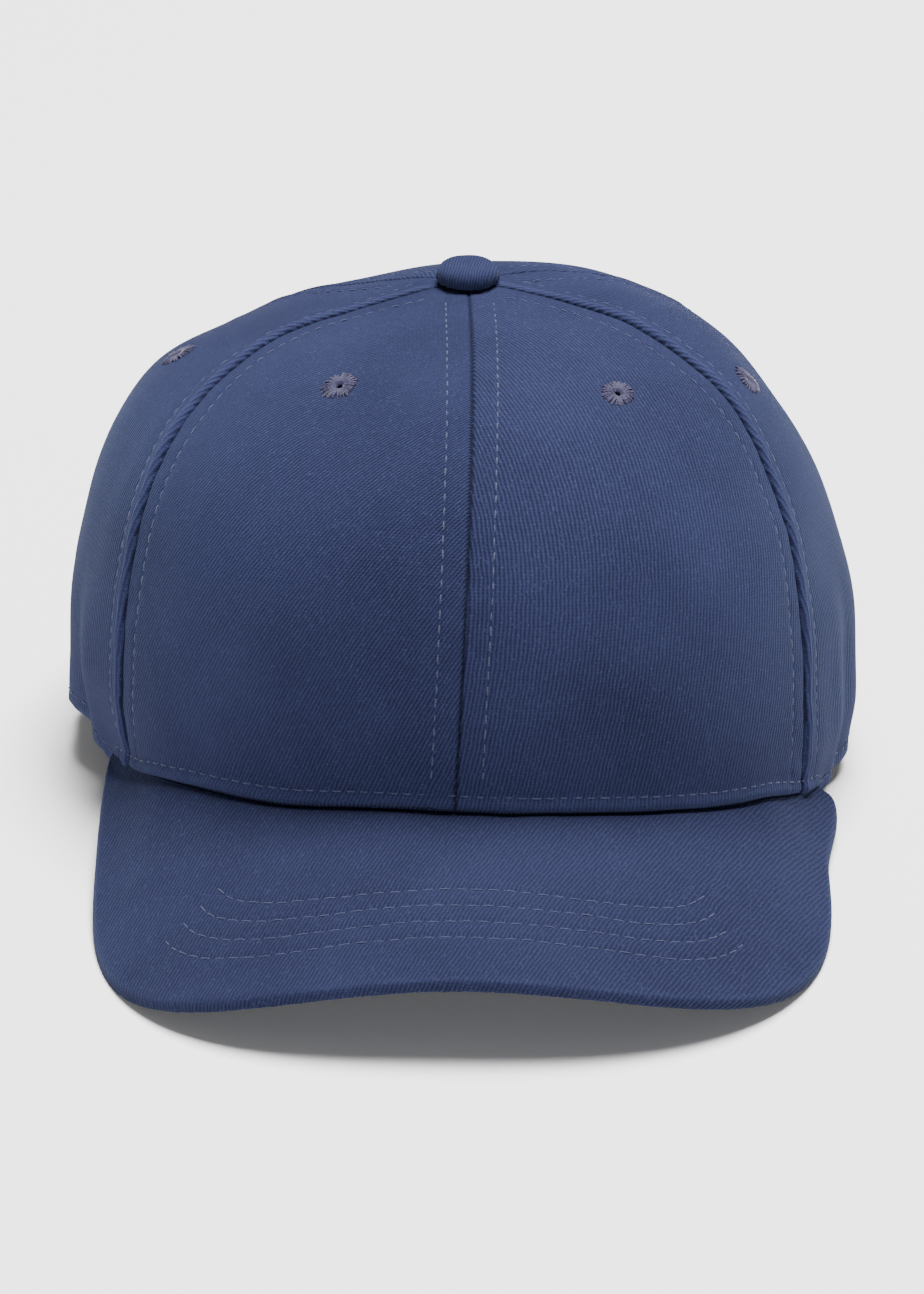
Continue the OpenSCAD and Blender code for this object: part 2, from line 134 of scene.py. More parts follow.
def mix(a, b, t):
    return a + (b - a) * t


def ease(t):
    t = np.clip(t, 0, 1)
    return t * t * (3 - 2 * t)


def hill(distance, width):
    """A bump of height 1 at distance 0 that dies away over a width."""
    return np.exp(-(distance / width) ** 2)


def sind(angle):
    return np.sin(np.radians(angle))


def cosd(angle):
    return np.cos(np.radians(angle))


def unit(vectors):
    """Vectors brought to a length of 1."""
    return vectors / np.maximum(np.linalg.norm(vectors, axis=-1, keepdims=True), 1e-9)


def soft_noise(points, size, seed):
    """Smooth noise of about -1 to 1 at points in millimetres, with features of a given size."""
    waves = 14
    draw = np.random.default_rng(seed)
    ways = unit(draw.normal(size=(waves, 3)))
    ways *= 2 * math.pi / size * draw.uniform(0.7, 1.3, (waves, 1))
    phases = draw.uniform(0, 2 * math.pi, waves)
    return np.sin(points @ ways.T + phases).sum(-1) / math.sqrt(waves) * 0.9


# ---- The bill's surface ----

def reach(angle, q, p):
    """Distance from the centre to the curve x^p + y^q = 1 at an angle, found by halving."""
    low = np.full(np.shape(angle), 0.9)
    high = np.full(np.shape(angle), 1.5)
    for _ in range(22):
        middle = (low + high) / 2
        outside = (middle * sind(angle)) ** q + (middle * np.abs(cosd(angle))) ** p > 1
        high = np.where(outside, middle, high)
        low = np.where(outside, low, middle)
    return (low + high) / 2


def bill_power(share):
    """The bill's two front corners are not bent alike: the one at +X is rounder."""
    return np.where(np.asarray(share) < 0, BILL_POWERS[0], BILL_POWERS[1])


def crook(x, y):
    """Unevenness of the seam between bill and crown, which dies away towards the bill's edge."""
    fade = 1 - ease((np.hypot(x, y) - RIM_RADIUS) / 42)
    return fade * (3.0 * ease((-x - 38) / 32) - 1.8 * ease((-x - 72) / 14)
                   - 1.3 * hill(x - 22, 36) - 3.6 * ease((x - 72) / 16))


def bill_height(x, y):
    return (BILL_SEAM_HEIGHT + (y + RIM_RADIUS) * math.tan(math.radians(BILL_SLOPE))
            - x * x / (2 * BILL_ARCH_RADIUS) + crook(x, y))


def tuck(azimuth, z):
    """How far the sides stand out, with less where they are drawn in above the bill's two corners."""
    left = 1.1 * hill(azimuth - 88, 14) * ease((z - 8) / 12) * ease((70 - z) / 30)
    return (left - 1.4 * hill(azimuth - 70, 9) * ease((24 - z) / 18)
            - 4.4 * hill(azimuth + 67, 12.5) * ease((38 - z) / 28))


def bill_edge(share, inset=0.0):
    """Plan of the bill's edge from the right corner (-1) to the left one (1), drawn in by an inset."""
    share = np.asarray(share, float)
    across = np.clip(np.abs(share) / 0.7, 0, 1)
    along = np.clip((np.abs(share) - 0.7) / 0.3, 0, 1)
    spread = BILL_SPREAD * (share > 0)
    radius = RIM_RADIUS + CORNER_GAP + spread + tuck(CORNER_AZIMUTH * np.sign(share), 10)
    corner_x = (radius - inset) * sind(CORNER_AZIMUTH)
    corner_y = -radius * cosd(CORNER_AZIMUTH)
    front = reach(90 * across, bill_power(share), bill_power(share))
    half = BILL_HALF_WIDTH + spread / 2 - inset
    front_x = half * front * sind(90 * across)
    front_y = BILL_SIDE_Y - (BILL_SIDE_Y - BILL_FRONT_Y - inset) * front * cosd(90 * across)
    bulge = BILL_BULGE * (share > 0) * ease(along / 0.6) * (1 - along ** 6)
    side_x = mix(half, corner_x, 1 - cosd(90 * along)) + bulge
    side_y = mix(BILL_SIDE_Y, corner_y, sind(90 * along))
    in_front = np.abs(share) <= 0.7
    return np.where(in_front, front_x, side_x) * np.sign(share), np.where(in_front, front_y, side_y)


def row_shape(inset):
    """Half width, depth and shift to -X of one of the bill's rows of stitching."""
    return BILL_HALF_WIDTH - 6 - 0.6 * inset, BILL_SIDE_Y - BILL_FRONT_Y - inset, 3.2 - 0.08 * inset


def row_points(inset, count):
    """Plan of a row of stitching, squarer than the bill's edge."""
    half, depth, shift = row_shape(inset)
    angle = np.linspace(-BILL_ROW_ANGLE, BILL_ROW_ANGLE, count)
    front = reach(np.abs(angle), BILL_ROW_POWER, BILL_ROW_POWER)
    return half * front * sind(angle) - shift, BILL_SIDE_Y - depth * front * cosd(angle)


def row_groove(x, y, inset):
    """How deep a point of the bill lies in the groove of a row of stitching, from 0 to 1."""
    half, depth, shift = row_shape(inset)
    across = np.abs(x + shift) / half
    along = np.maximum(BILL_SIDE_Y - y, 0) / depth
    power = BILL_ROW_POWER
    size = np.maximum(across ** power + along ** power, 1e-9) ** (1 / power)
    slope = np.hypot((across / size) ** (power - 1) / half, (along / size) ** (power - 1) / depth)
    return hill((size - 1) / np.maximum(slope, 1e-6), 0.75) * ease((along - 0.62) / 0.08)


# ---- The crown's surface ----

def seam_height(azimuth):
    return bill_height(RIM_RADIUS * sind(azimuth), -RIM_RADIUS * cosd(azimuth))


def rim_height(azimuth):
    """Height of the crown's lower edge: the bill's underside along the seam, then down to the floor."""
    a = np.abs(azimuth)
    corner = seam_height(np.where(np.asarray(azimuth) < 0, -CORNER_AZIMUTH, CORNER_AZIMUTH)) - BILL_THICKNESS
    fall = 1 - ease((a - CORNER_AZIMUTH) / (REST_AZIMUTH - CORNER_AZIMUTH))
    beyond = corner * fall + RIM_HITCH * hill(azimuth + 83, 15) * ease((a - CORNER_AZIMUTH) / 5)
    return np.where(a < CORNER_AZIMUTH, seam_height(azimuth) - BILL_THICKNESS, beyond)


def powers(azimuth):
    """Powers of the crown's profile, for its height and for its width."""
    front = (1 + cosd(azimuth)) / 2
    return mix(BACK_POWERS[0], FRONT_POWERS[0], front), mix(BACK_POWERS[1], FRONT_POWERS[1], front)


def crown_point(azimuth, elevation, inset=0.0):
    """A point of the ideal crown, drawn in by an inset."""
    q, p = powers(azimuth)
    far = reach(elevation, q, p)
    rise = far * sind(elevation)
    base = rim_height(azimuth)
    z = base + (CROWN_HEIGHT - inset - base) * rise
    r = (RIM_RADIUS - inset) * (far * cosd(elevation))
    return np.stack([r * sind(azimuth), CROWN_LEAN * rise * rise - r * cosd(azimuth), z], -1)


def elevation_at(azimuth, z):
    """Elevation at which the crown's surface is at a height."""
    base = rim_height(azimuth)
    rise = np.clip((z - base) / (CROWN_HEIGHT - base), 0, 1)
    q, p = powers(azimuth)
    return np.degrees(np.arctan2(rise, (1 - rise ** q) ** (1 / p)))


def seam_azimuth(seam, share, side):
    """Azimuth of a seam at a share of its height. The front seam leans a little towards +X."""
    lean = side * (3.4 * share - 1.3) * (seam == 0)
    return SEAM_AZIMUTHS[seam] + SEAM_TURNS[side][seam] * share * share + lean


def relief(points, azimuth):
    """How far soft cloth stands out from the ideal crown, in millimetres.

    The back's lower edge stays true, because the strap's channel is sewn tight there.
    """
    x, y, height = points[..., 0], points[..., 1], points[..., 2]
    back = ease((np.abs(azimuth) - 50) / 30)
    low = ease((70 - height) / 60)
    broad = 0.55 * soft_noise(points, 62, 3) + 0.3 * soft_noise(points, 31, 4)
    upright = np.concatenate([points[..., :2], points[..., 2:] * 0.22], -1)
    buckles = soft_noise(upright, 24, 5) * (0.25 + 0.75 * low)
    fade = ease(height / 14)
    tight = ease((np.abs(azimuth) - 112) / 12) * ease((38 - height) / 12)
    slump = (2.0 * hill(x + 74, 13) - 3.2 * hill(x + 34, 24)
             + 1.4 * hill(x - 38, 18) - 1.8 * hill(x - 74, 15))
    beside = np.abs(azimuth) - 0.05 * height
    folds = (0.9 * hill(beside - 70, 2.6) - 0.9 * hill(beside - 75, 2.4) + 0.6 * hill(beside - 81, 3.5)
             ) * ease((beside - 60) / 5) * ease((64 - height) / 40)
    return ((broad * (0.6 + 0.6 * back) + buckles * (0.12 + 0.75 * back)) * (0.35 + 0.65 * fade)
            * (1 - 0.96 * tight) + tuck(azimuth, height) + folds
            + slump * ease((y + 22) / 36) * ease((height - 42) / 40))


def cloth_point(azimuth, elevation, inset=0.0):
    """A point of the crown's soft surface."""
    points = crown_point(azimuth, elevation, inset)
    return points + outward(azimuth, elevation) * relief(points, azimuth)[..., None]


def outward(azimuth, elevation):
    """Outward normals of the ideal crown."""
    step = 0.4
    east = crown_point(azimuth + step, elevation) - crown_point(azimuth - step, elevation)
    upper = np.minimum(elevation + step, 89.9)
    lower = np.maximum(elevation - step, 0)
    north = crown_point(azimuth, upper) - crown_point(azimuth, lower)
    return unit(np.cross(east, north))


# ---- Meshes from grids of points ----

def add_object(name, data):
    piece = bpy.data.objects.new(name, data)
    bpy.context.scene.collection.objects.link(piece)
    return piece


def mesh_object(name, points, faces, attributes):
    """A smooth mesh object from points in millimetres, with per-point attributes for the materials."""
    mesh = bpy.data.meshes.new(name)
    mesh.from_pydata((np.asarray(points) * MM).tolist(), [], faces)
    for key, values in attributes.items():
        values = np.asarray(values, np.float32)
        kind = "FLOAT_VECTOR" if values.ndim == 2 else "FLOAT"
        layer = mesh.attributes.new(key, kind, "POINT")
        layer.data.foreach_set("vector" if values.ndim == 2 else "value", values.reshape(-1))
    mesh.validate()
    mesh.shade_smooth()
    return add_object(name, mesh)


def grid_normals(points):
    """Unit normals of a grid seen from outside, with columns to the right and rows up."""
    return unit(np.cross(np.gradient(points, axis=1), np.gradient(points, axis=0)))


def arc_lengths(points, axis):
    """Distances run along one axis of a grid of points."""
    steps = np.linalg.norm(np.diff(points, axis=axis), axis=-1)
    return np.concatenate([np.zeros_like(np.take(steps, [0], axis)), np.cumsum(steps, axis)], axis)


def cloth_solid(name, outer, inner, weave, wear_and_painted_light=0.0, hole=None, ring=False):
    """A closed piece of cloth between two grids of points.

    hole is a mask of the grid's cells that are left out, and the cloth closes round it.
    With ring, the last column joins the first.
    """
    wear_and_painted_light = np.broadcast_to(wear_and_painted_light, outer.shape[:2])
    if (grid_normals(outer) * (outer - inner)).sum(-1).mean() < 0:
        outer, inner, weave, wear_and_painted_light = (grid[:, ::-1] for grid in (outer, inner, weave, wear_and_painted_light))
        hole = None if hole is None else hole[:, ::-1]
    rows, columns = outer.shape[:2]
    count = rows * columns
    last = columns if ring else columns - 1
    starts = np.arange(rows - 1)[:, None] * columns
    a = (starts + np.arange(last)).reshape(-1)
    b = (starts + (np.arange(last) + 1) % columns).reshape(-1)
    quads = np.stack([a, b, b + columns, a + columns], 1)
    if hole is not None:
        quads = quads[~hole.reshape(-1)]
    edges = np.concatenate([quads[:, [k, (k + 1) % 4]] for k in range(4)]).tolist()
    seen = {tuple(edge) for edge in edges}
    faces = quads.tolist()
    faces += (quads[:, ::-1] + count).tolist()
    faces += [[b, a, count + a, count + b] for a, b in edges if (b, a) not in seen]
    points = np.concatenate([outer.reshape(-1, 3), inner.reshape(-1, 3)])
    weave = np.concatenate([weave.reshape(-1, 3)] * 2)
    wear_and_painted_light = np.concatenate([wear_and_painted_light.reshape(-1)] * 2)
    used = np.unique(np.array([i for face in faces for i in face]))
    renumber = np.full(2 * count, -1)
    renumber[used] = np.arange(len(used))
    faces = [[int(renumber[i]) for i in face] for face in faces]
    return mesh_object(name, points[used], faces, {"weave": weave[used], "wear_and_painted_light": wear_and_painted_light[used]})


def weave_coordinates(across, up, angle, seed, bend=0.0):
    """Distances across and along the twill's lines, in millimetres, and a number for the piece."""
    x = (bend * up * up / 2 - across) * sind(angle) + up * cosd(angle)
    y = across * cosd(angle) + up * sind(angle)
    return np.stack(np.broadcast_arrays(x, y, float(seed)), -1)


def grid_weave(grid, angle, seed):
    """Weave coordinates that run along a grid's own columns and rows."""
    return weave_coordinates(arc_lengths(grid, 1), arc_lengths(grid, 0), angle, seed)


def paint(piece, material):
    piece.data.materials.clear()
    piece.data.materials.append(material)


def dress(piece, material, nodes=(), body="cap"):
    """Gives a piece its material and body, and hides the CAD nodes that it replaces."""
    paint(piece, material)
    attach(piece, body)
    if nodes:
        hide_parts(*nodes)


def cut_cloth(grid):
    """Measures the flat size of a piece of cloth on the grid it was made from, and does nothing more with
    it.
    """
    width = float(arc_lengths(grid, 1)[:, -1].max()) * MM
    length = float(arc_lengths(grid, 0)[-1].max()) * MM


def cloth_piece(node, kind, outer, inner, weave, material, wear_and_painted_light=0.0, hole=None, cut=None):
    """Cloth in place of a CAD node, with its flat size measured on its outer grid or on the grid that cut
    gives.
    """
    piece = cloth_solid(node + kind, outer, inner, weave, wear_and_painted_light, hole)
    dress(piece, material, [node])
    cut_cloth(outer if cut is None else cut)


# ---- Sewing thread ----

class Stitches:
    """Collects short threads and makes them one object."""

    def __init__(self):
        self.points, self.faces, self.weave, self.count = [], [], [], 0

    def strand(self, centres, normals, radii, sides=6):
        """One closed thread along a few centres."""
        ahead = unit(np.gradient(centres, axis=0))
        side = unit(np.cross(normals, ahead))
        up = np.cross(ahead, side)
        turn = 2 * math.pi * np.arange(sides) / sides
        rings = (centres[:, None] + radii[:, None, None]
                 * (side[:, None] * np.cos(turn)[None, :, None] + up[:, None] * np.sin(turn)[None, :, None]))
        first = self.count
        self.points.append(rings.reshape(-1, 3))
        along = arc_lengths(centres, 0)
        mark = np.stack(np.broadcast_arrays(along[:, None], turn[None] * 0.1, first * 0.37 % 10), -1)
        self.weave.append(mark.reshape(-1, 3))
        for i in range(len(centres) - 1):
            for k in range(sides):
                a = first + i * sides + k
                b = first + i * sides + (k + 1) % sides
                self.faces.append([a, b, b + sides, a + sides])
        self.faces.append([first + k for k in reversed(range(sides))])
        self.faces.append([first + (len(centres) - 1) * sides + k for k in range(sides)])
        self.count += len(centres) * sides

    def run(self, points, normals, pitch=3.5, length=2.3):
        """A row of lockstitches along a path on the cloth. Each stitch dives in at both ends."""
        distance = arc_lengths(points, 0)
        shape = np.array([0, 0.08, 0.3, 0.7, 0.92, 1.0])
        drop = np.array([-1.5, 0.1, 0.85, 0.85, 0.1, -1.5])
        girth = np.array([0.55, 0.85, 1, 1, 0.85, 0.55])
        for k in range(int(distance[-1] // pitch)):
            at = (k + 0.5) * pitch - length / 2 + random.uniform(-0.12, 0.12) + shape * length
            centres = np.stack([np.interp(at, distance, points[:, j]) for j in range(3)], -1)
            up = unit(np.stack([np.interp(at, distance, normals[:, j]) for j in range(3)], -1))
            side = unit(np.cross(up[0], centres[-1] - centres[0]))
            lean = random.uniform(-0.12, 0.12) * (shape - 0.5) + random.uniform(-0.06, 0.06)
            sunk = random.uniform(-0.09, 0.03)
            centres = centres + up * (drop * THREAD_RADIUS + sunk)[:, None] + side * lean[:, None]
            self.strand(centres, up, girth * THREAD_RADIUS * random.uniform(0.9, 1.1))

    def make(self, name, nodes=(), body="cap", material=None):
        """Makes the object, of ordinary sewing thread unless a material is given."""
        piece = mesh_object(name, np.concatenate(self.points), self.faces,
                            {"weave": np.concatenate(self.weave)})
        dress(piece, material or sewing_thread, nodes, body)


# ---- Materials ----

class Shader:
    """A new node material with short ways to add and join nodes."""

    def __init__(self, name):
        self.material = bpy.data.materials.new(name)
        self.material.use_nodes = True
        self.tree = self.material.node_tree
        self.surface = self.tree.nodes["Principled BSDF"]

    def node(self, kind, inputs=None, **settings):
        made = self.tree.nodes.new(kind)
        for key, value in settings.items():
            setattr(made, key, value)
        for key, value in (inputs or {}).items():
            self.put(made.inputs[key], value)
        return made

    def put(self, socket, value):
        if isinstance(value, bpy.types.NodeSocket):
            self.tree.links.new(value, socket)
        else:
            socket.default_value = value

    def math(self, operation, a, b=0.0, c=0.0):
        made = self.node("ShaderNodeMath", operation=operation)
        for socket, value in zip(made.inputs, (a, b, c)):
            self.put(socket, value)
        return made.outputs[0]

    def add(self, a, b):
        return self.math("ADD", a, b)

    def times(self, a, b):
        return self.math("MULTIPLY", a, b)

    def wave(self, value, period):
        """A sine of 0 to 1."""
        turned = self.math("SINE", self.times(value, 2 * math.pi / period))
        return self.math("MULTIPLY_ADD", turned, 0.5, 0.5)

    def mix_colour(self, share, a, b):
        made = self.node("ShaderNodeMix", data_type="RGBA")
        self.put(made.inputs[0], share)
        self.put(made.inputs[6], a)
        self.put(made.inputs[7], b)
        return made.outputs[2]

    def remap(self, value, low, high, new_low, new_high):
        ends = {0: value, 1: low, 2: high, 3: new_low, 4: new_high}
        return self.node("ShaderNodeMapRange", ends).outputs[0]

    def attribute(self, name):
        return self.node("ShaderNodeAttribute", attribute_name=name)

    def noise(self, vector, scale, detail=2.0, roughness=0.5):
        return self.node("ShaderNodeTexNoise", {"Vector": vector, "Scale": scale, "Detail": detail,
                                                "Roughness": roughness}).outputs[0]

    def place(self):
        return self.node("ShaderNodeTexCoord").outputs["Object"]

    def bump(self, height, distance):
        made = self.node("ShaderNodeBump", {"Height": height, "Distance": distance, "Strength": 1.0})
        self.put(self.surface.inputs["Normal"], made.outputs[0])

    def finish(self, **values):
        """Sets the shader's own sockets, by their names with spaces as underscores."""
        for key, value in values.items():
            self.put(self.surface.inputs[key.replace("_", " ")], value)
        return self.material


def colour(r, g, b):
    return (r, g, b, 1.0)


NAVY_DARK = colour(0.0045, 0.0055, 0.0180)
NAVY_LIGHT = colour(0.0282, 0.0338, 0.0868)


def woven_shader(name):
    """A shader with the weave's coordinates, and the first two of them apart."""
    s = Shader(name)
    weave = s.attribute("weave").outputs["Vector"]
    split = s.node("ShaderNodeSeparateXYZ", {0: weave})
    return s, weave, split.outputs[0], split.outputs[1]


def twill_material(name, dark=NAVY_DARK, light=NAVY_LIGHT, wale=0.98, fleck=0.5):
    """Cotton twill: diagonal lines of yarn, a cross yarn, light slubs, and a per-point shift of tone that
    holds rubbed wear, painted highlights and painted shade.
    """
    s, weave, across, along = woven_shader(name)
    drift = s.times(s.math("SUBTRACT", s.noise(weave, 0.22), 0.5), 0.9)
    turns = s.math("DIVIDE", s.add(across, drift), wale)
    line = s.wave(turns, 1)
    stagger = s.times(s.math("FLOOR", turns), 0.37)
    beat = s.wave(s.add(s.math("DIVIDE", along, wale * 0.8), stagger), 1)
    yarn = s.add(s.times(line, 0.8), s.times(beat, 0.2))
    slubs = s.noise(weave, 1.6, 3.0, 0.75)
    cells = s.node("ShaderNodeVectorMath", {0: weave, 1: (0.3, 0.42, 1.0)}, operation="SNAP").outputs[0]
    flecks = s.node("ShaderNodeTexWhiteNoise", {"Vector": cells}, noise_dimensions="3D").outputs[0]
    cloud = s.noise(s.place(), 26.0, 3.0)
    tone = s.add(s.times(yarn, 0.5), s.times(slubs, 0.6))
    tone = s.add(tone, s.times(s.remap(flecks, 0.93, 1.0, 0.0, 1.0), fleck))
    tone = s.add(tone, s.remap(cloud, 0.3, 0.7, -0.1, 0.1))
    # Painted light: the per-point attribute lightens the cloth as painted highlights and darkens it as
    # painted shade, mixed with some rubbed wear.
    tone = s.add(tone, s.times(s.attribute("wear_and_painted_light").outputs["Fac"], 0.45))
    base = s.mix_colour(s.remap(tone, 0.15, 1.05, 0.0, 1.0), dark, light)
    s.bump(s.add(yarn, s.times(slubs, 0.6)), 0.00014)
    return s.finish(Base_Color=base, Roughness=0.88, Sheen_Weight=0.05, Sheen_Roughness=0.5,
                    Sheen_Tint=colour(0.45, 0.6, 1.0), Specular_IOR_Level=0.06)


def thread_material(name, dark, light, twist=0.55, lustre=0.35):
    """Twisted yarn with a faint lustre."""
    s, weave, along, turned = woven_shader(name)
    plies = s.wave(s.add(along, turned), twist)
    tone = s.add(s.times(plies, 0.4), s.times(s.noise(weave, 2.5), 0.6))
    s.bump(plies, 0.00004)
    return s.finish(Base_Color=s.mix_colour(tone, dark, light), Roughness=0.6, Sheen_Weight=0.25,
                    Sheen_Roughness=0.4, Specular_IOR_Level=lustre)


def canvas_material(name, dark, light, cell, depth, seen_through=0.0):
    """Plain weave, with gaps that look dark when it is an open one."""
    s, weave, across, along = woven_shader(name)
    warp, weft = (s.math("POWER", s.wave(place, cell), 2.0) for place in (across, along))
    cloth = s.math("MAXIMUM", warp, weft)
    slubs = s.noise(weave, 1.2, 3.0, 0.7)
    tone = s.add(s.times(cloth, 0.5 + seen_through), s.times(slubs, 0.5))
    s.bump(s.add(cloth, slubs), depth)
    return s.finish(Base_Color=s.mix_colour(tone, dark, light), Roughness=0.85, Sheen_Weight=0.1,
                    Sheen_Roughness=0.5, Specular_IOR_Level=0.2)


def metal_material(name, bright, dull, rough=0.32):
    """Stamped metal with fine draw lines, handling marks and a little tarnish."""
    s = Shader(name)
    place = s.place()
    lines = s.noise(s.node("ShaderNodeVectorMath", {0: place, 1: (300, 300, 9000)},
                           operation="MULTIPLY").outputs[0], 1.0, 2.0)
    tarnish = s.noise(place, 260.0, 4.0, 0.65)
    marks = s.noise(place, 1500.0, 2.0)
    base = s.mix_colour(s.remap(tarnish, 0.35, 0.65, 0.0, 1.0), bright, dull)
    s.bump(s.add(lines, marks), 0.000012)
    return s.finish(Base_Color=base, Metallic=1.0, Roughness=s.remap(tarnish, 0.3, 0.7, rough, rough + 0.22))


def board_material():
    """White plastic with a fine grain."""
    s = Shader("bill_board")
    grain = s.noise(s.place(), 900.0, 3.0)
    s.bump(grain, 0.00003)
    return s.finish(Base_Color=s.mix_colour(grain, colour(0.72, 0.72, 0.70), colour(0.8, 0.8, 0.78)),
                    Roughness=0.5)


panel_twill = twill_material("panel_twill")
# Painted shade: the bill's twill is the panels' navy made darker, standing in for the stronger light that
# falls on the bill's upper face.
bill_twill = twill_material("bill_twill", colour(0.0038, 0.0045, 0.0150), colour(0.0212, 0.0251, 0.0648),
                            wale=0.95, fleck=0.75)
binding_twill = twill_material("binding_twill", wale=0.8)
button_twill = twill_material("button_twill", wale=0.7, fleck=0.3)
sweatband_twill = twill_material("sweatband_twill", wale=0.9, fleck=0.2)
strap_twill = twill_material("strap_twill", wale=0.9)
seam_tape_cloth = canvas_material("seam_tape", NAVY_DARK, NAVY_LIGHT, 0.7, 0.00008)
sewing_thread = thread_material("sewing_thread", colour(0.012, 0.014, 0.040), colour(0.065, 0.078, 0.155),
                                lustre=0.12)
bill_thread = thread_material("bill_thread", colour(0.010, 0.012, 0.034), colour(0.062, 0.073, 0.150),
                              lustre=0.15)
embroidery = thread_material("embroidery_thread", colour(0.011, 0.009, 0.030), colour(0.045, 0.040, 0.095),
                             twist=0.9, lustre=0.2)
buckram_canvas = canvas_material("buckram", colour(0.42, 0.41, 0.37), colour(0.74, 0.73, 0.69),
                                 1.1, 0.00012, 0.2)
stiffener_felt = canvas_material("sweatband_stiffener", colour(0.5, 0.5, 0.48), colour(0.75, 0.75, 0.73),
                                 0.4, 0.00005)
brass = metal_material("buckle_metal", colour(0.62, 0.47, 0.24), colour(0.26, 0.19, 0.10))
steel = metal_material("pin_metal", colour(0.62, 0.62, 0.63), colour(0.40, 0.40, 0.41), 0.25)


# ---- Crown panels ----

def seam_profile(distance, kind):
    """Relief of the cloth beside a seam: the groove, the layers folded under it, and the stitched row."""
    stitched = -0.2 * hill(distance - STITCH_OFFSET, 0.7)
    if kind == "welt":
        ridge = 0.8 * hill(distance - 1.8, 1.1) + 0.25 * hill(distance - 4.2, 1.8)
        return ridge - 0.8 * hill(distance, 0.35) + stitched
    if kind == "under":
        return -0.7 * hill(distance, 0.45) - 0.15 * hill(distance, 2.5) + stitched
    puff = 0.2 * ease(distance / 1.2) * ease((STITCH_OFFSET + 0.4 - distance) / 1.6)
    return -0.8 * hill(distance, 0.4) + puff + stitched


# Relief beside a panel's first seam (0) and second seam (1), by panel from the front
SEAM_KINDS = {(0, 0): "flat", (0, 1): "under", (1, 0): "welt", (1, 1): "flat",
              (2, 0): "flat", (2, 1): "flat"}
TWILL_ANGLES = {(0, 1): 76.0, (0, -1): 70.0, (1, 1): 88.0, (1, -1): 94.0, (2, 1): 80.0, (2, -1): 76.0}
TWILL_BENDS = {(0, 1): -0.0028, (0, -1): 0.0052}
PANEL_NAMES = ("front", "side", "back")


def side_name(side):
    return "left" if side > 0 else "right"


def eyelet_point(number, side, inset=0.0):
    """The centre of an eyelet, on the crown's soft surface or inside it."""
    azimuth, elevation = EYELET_PLACES[number, side]
    return cloth_point(np.array(azimuth * side), np.array(elevation), inset)


def cell_centres(grid):
    return (grid[:-1, :-1] + grid[1:, 1:]) / 2


def arch_place(turn, grow=0.0):
    """Azimuth and elevation along the arched opening's edge, from its foot at +X, or grow outside it."""
    azimuth = 180 - np.degrees(np.arcsin((ARCH_HALF_WIDTH + grow) * cosd(turn) / RIM_RADIUS))
    return azimuth, elevation_at(azimuth, np.maximum((ARCH_HEIGHT + grow) * sind(turn), 0))


def fine_columns(width):
    """Shares of the way across a panel, closer together near its two seams."""
    near, near_step, far_step = 8.5, 0.5, 1.5
    edge = np.concatenate([[0, 0.2], np.arange(near_step, near, near_step)])
    middle = np.linspace(near, width - near, int((width - 2 * near) / far_step) + 1)
    return np.concatenate([edge, middle, width - edge[::-1]]) / width


def panel_surface(number, side):
    """Grids of a panel's azimuths and elevations, with shares across it and up it."""
    rim_width = math.radians(SEAM_AZIMUTHS[number + 1] - SEAM_AZIMUTHS[number]) * RIM_RADIUS
    across = fine_columns(rim_width)
    share = np.concatenate([np.linspace(0, 0.09, 16), np.linspace(0.09, 1, 103)[1:]])[:, None]
    low_elevation = np.zeros_like(across)
    if number == 2:
        start = SEAM_AZIMUTHS[2]
        azimuth = mix(start, 180, across)
        turn = np.degrees(np.arccos(np.clip(RIM_RADIUS * sind(180 - azimuth) / ARCH_HALF_WIDTH, 0, 1)))
        in_arch = azimuth > 180 - ARCH_ANGLE
        edge = np.argmax(in_arch)
        across[edge] = (180 - ARCH_ANGLE - start) / (180 - start)
        turn[edge] = 0
        turn[edge:] = np.linspace(0, 90, len(turn) - edge)
        across[edge:] = (arch_place(turn[edge:])[0] - start) / (180 - start)
        low_azimuth = mix(start, 180, across)
        low_elevation = np.where(in_arch, elevation_at(low_azimuth, ARCH_HEIGHT * sind(turn * in_arch)), 0)
    even = mix(across, np.linspace(0, 1, len(across)) if number == 2 else across, share)
    azimuth = mix(seam_azimuth(number, share, side), seam_azimuth(number + 1, share, side), even)
    return azimuth, mix(low_elevation, TOP_ELEVATION, share), even, share


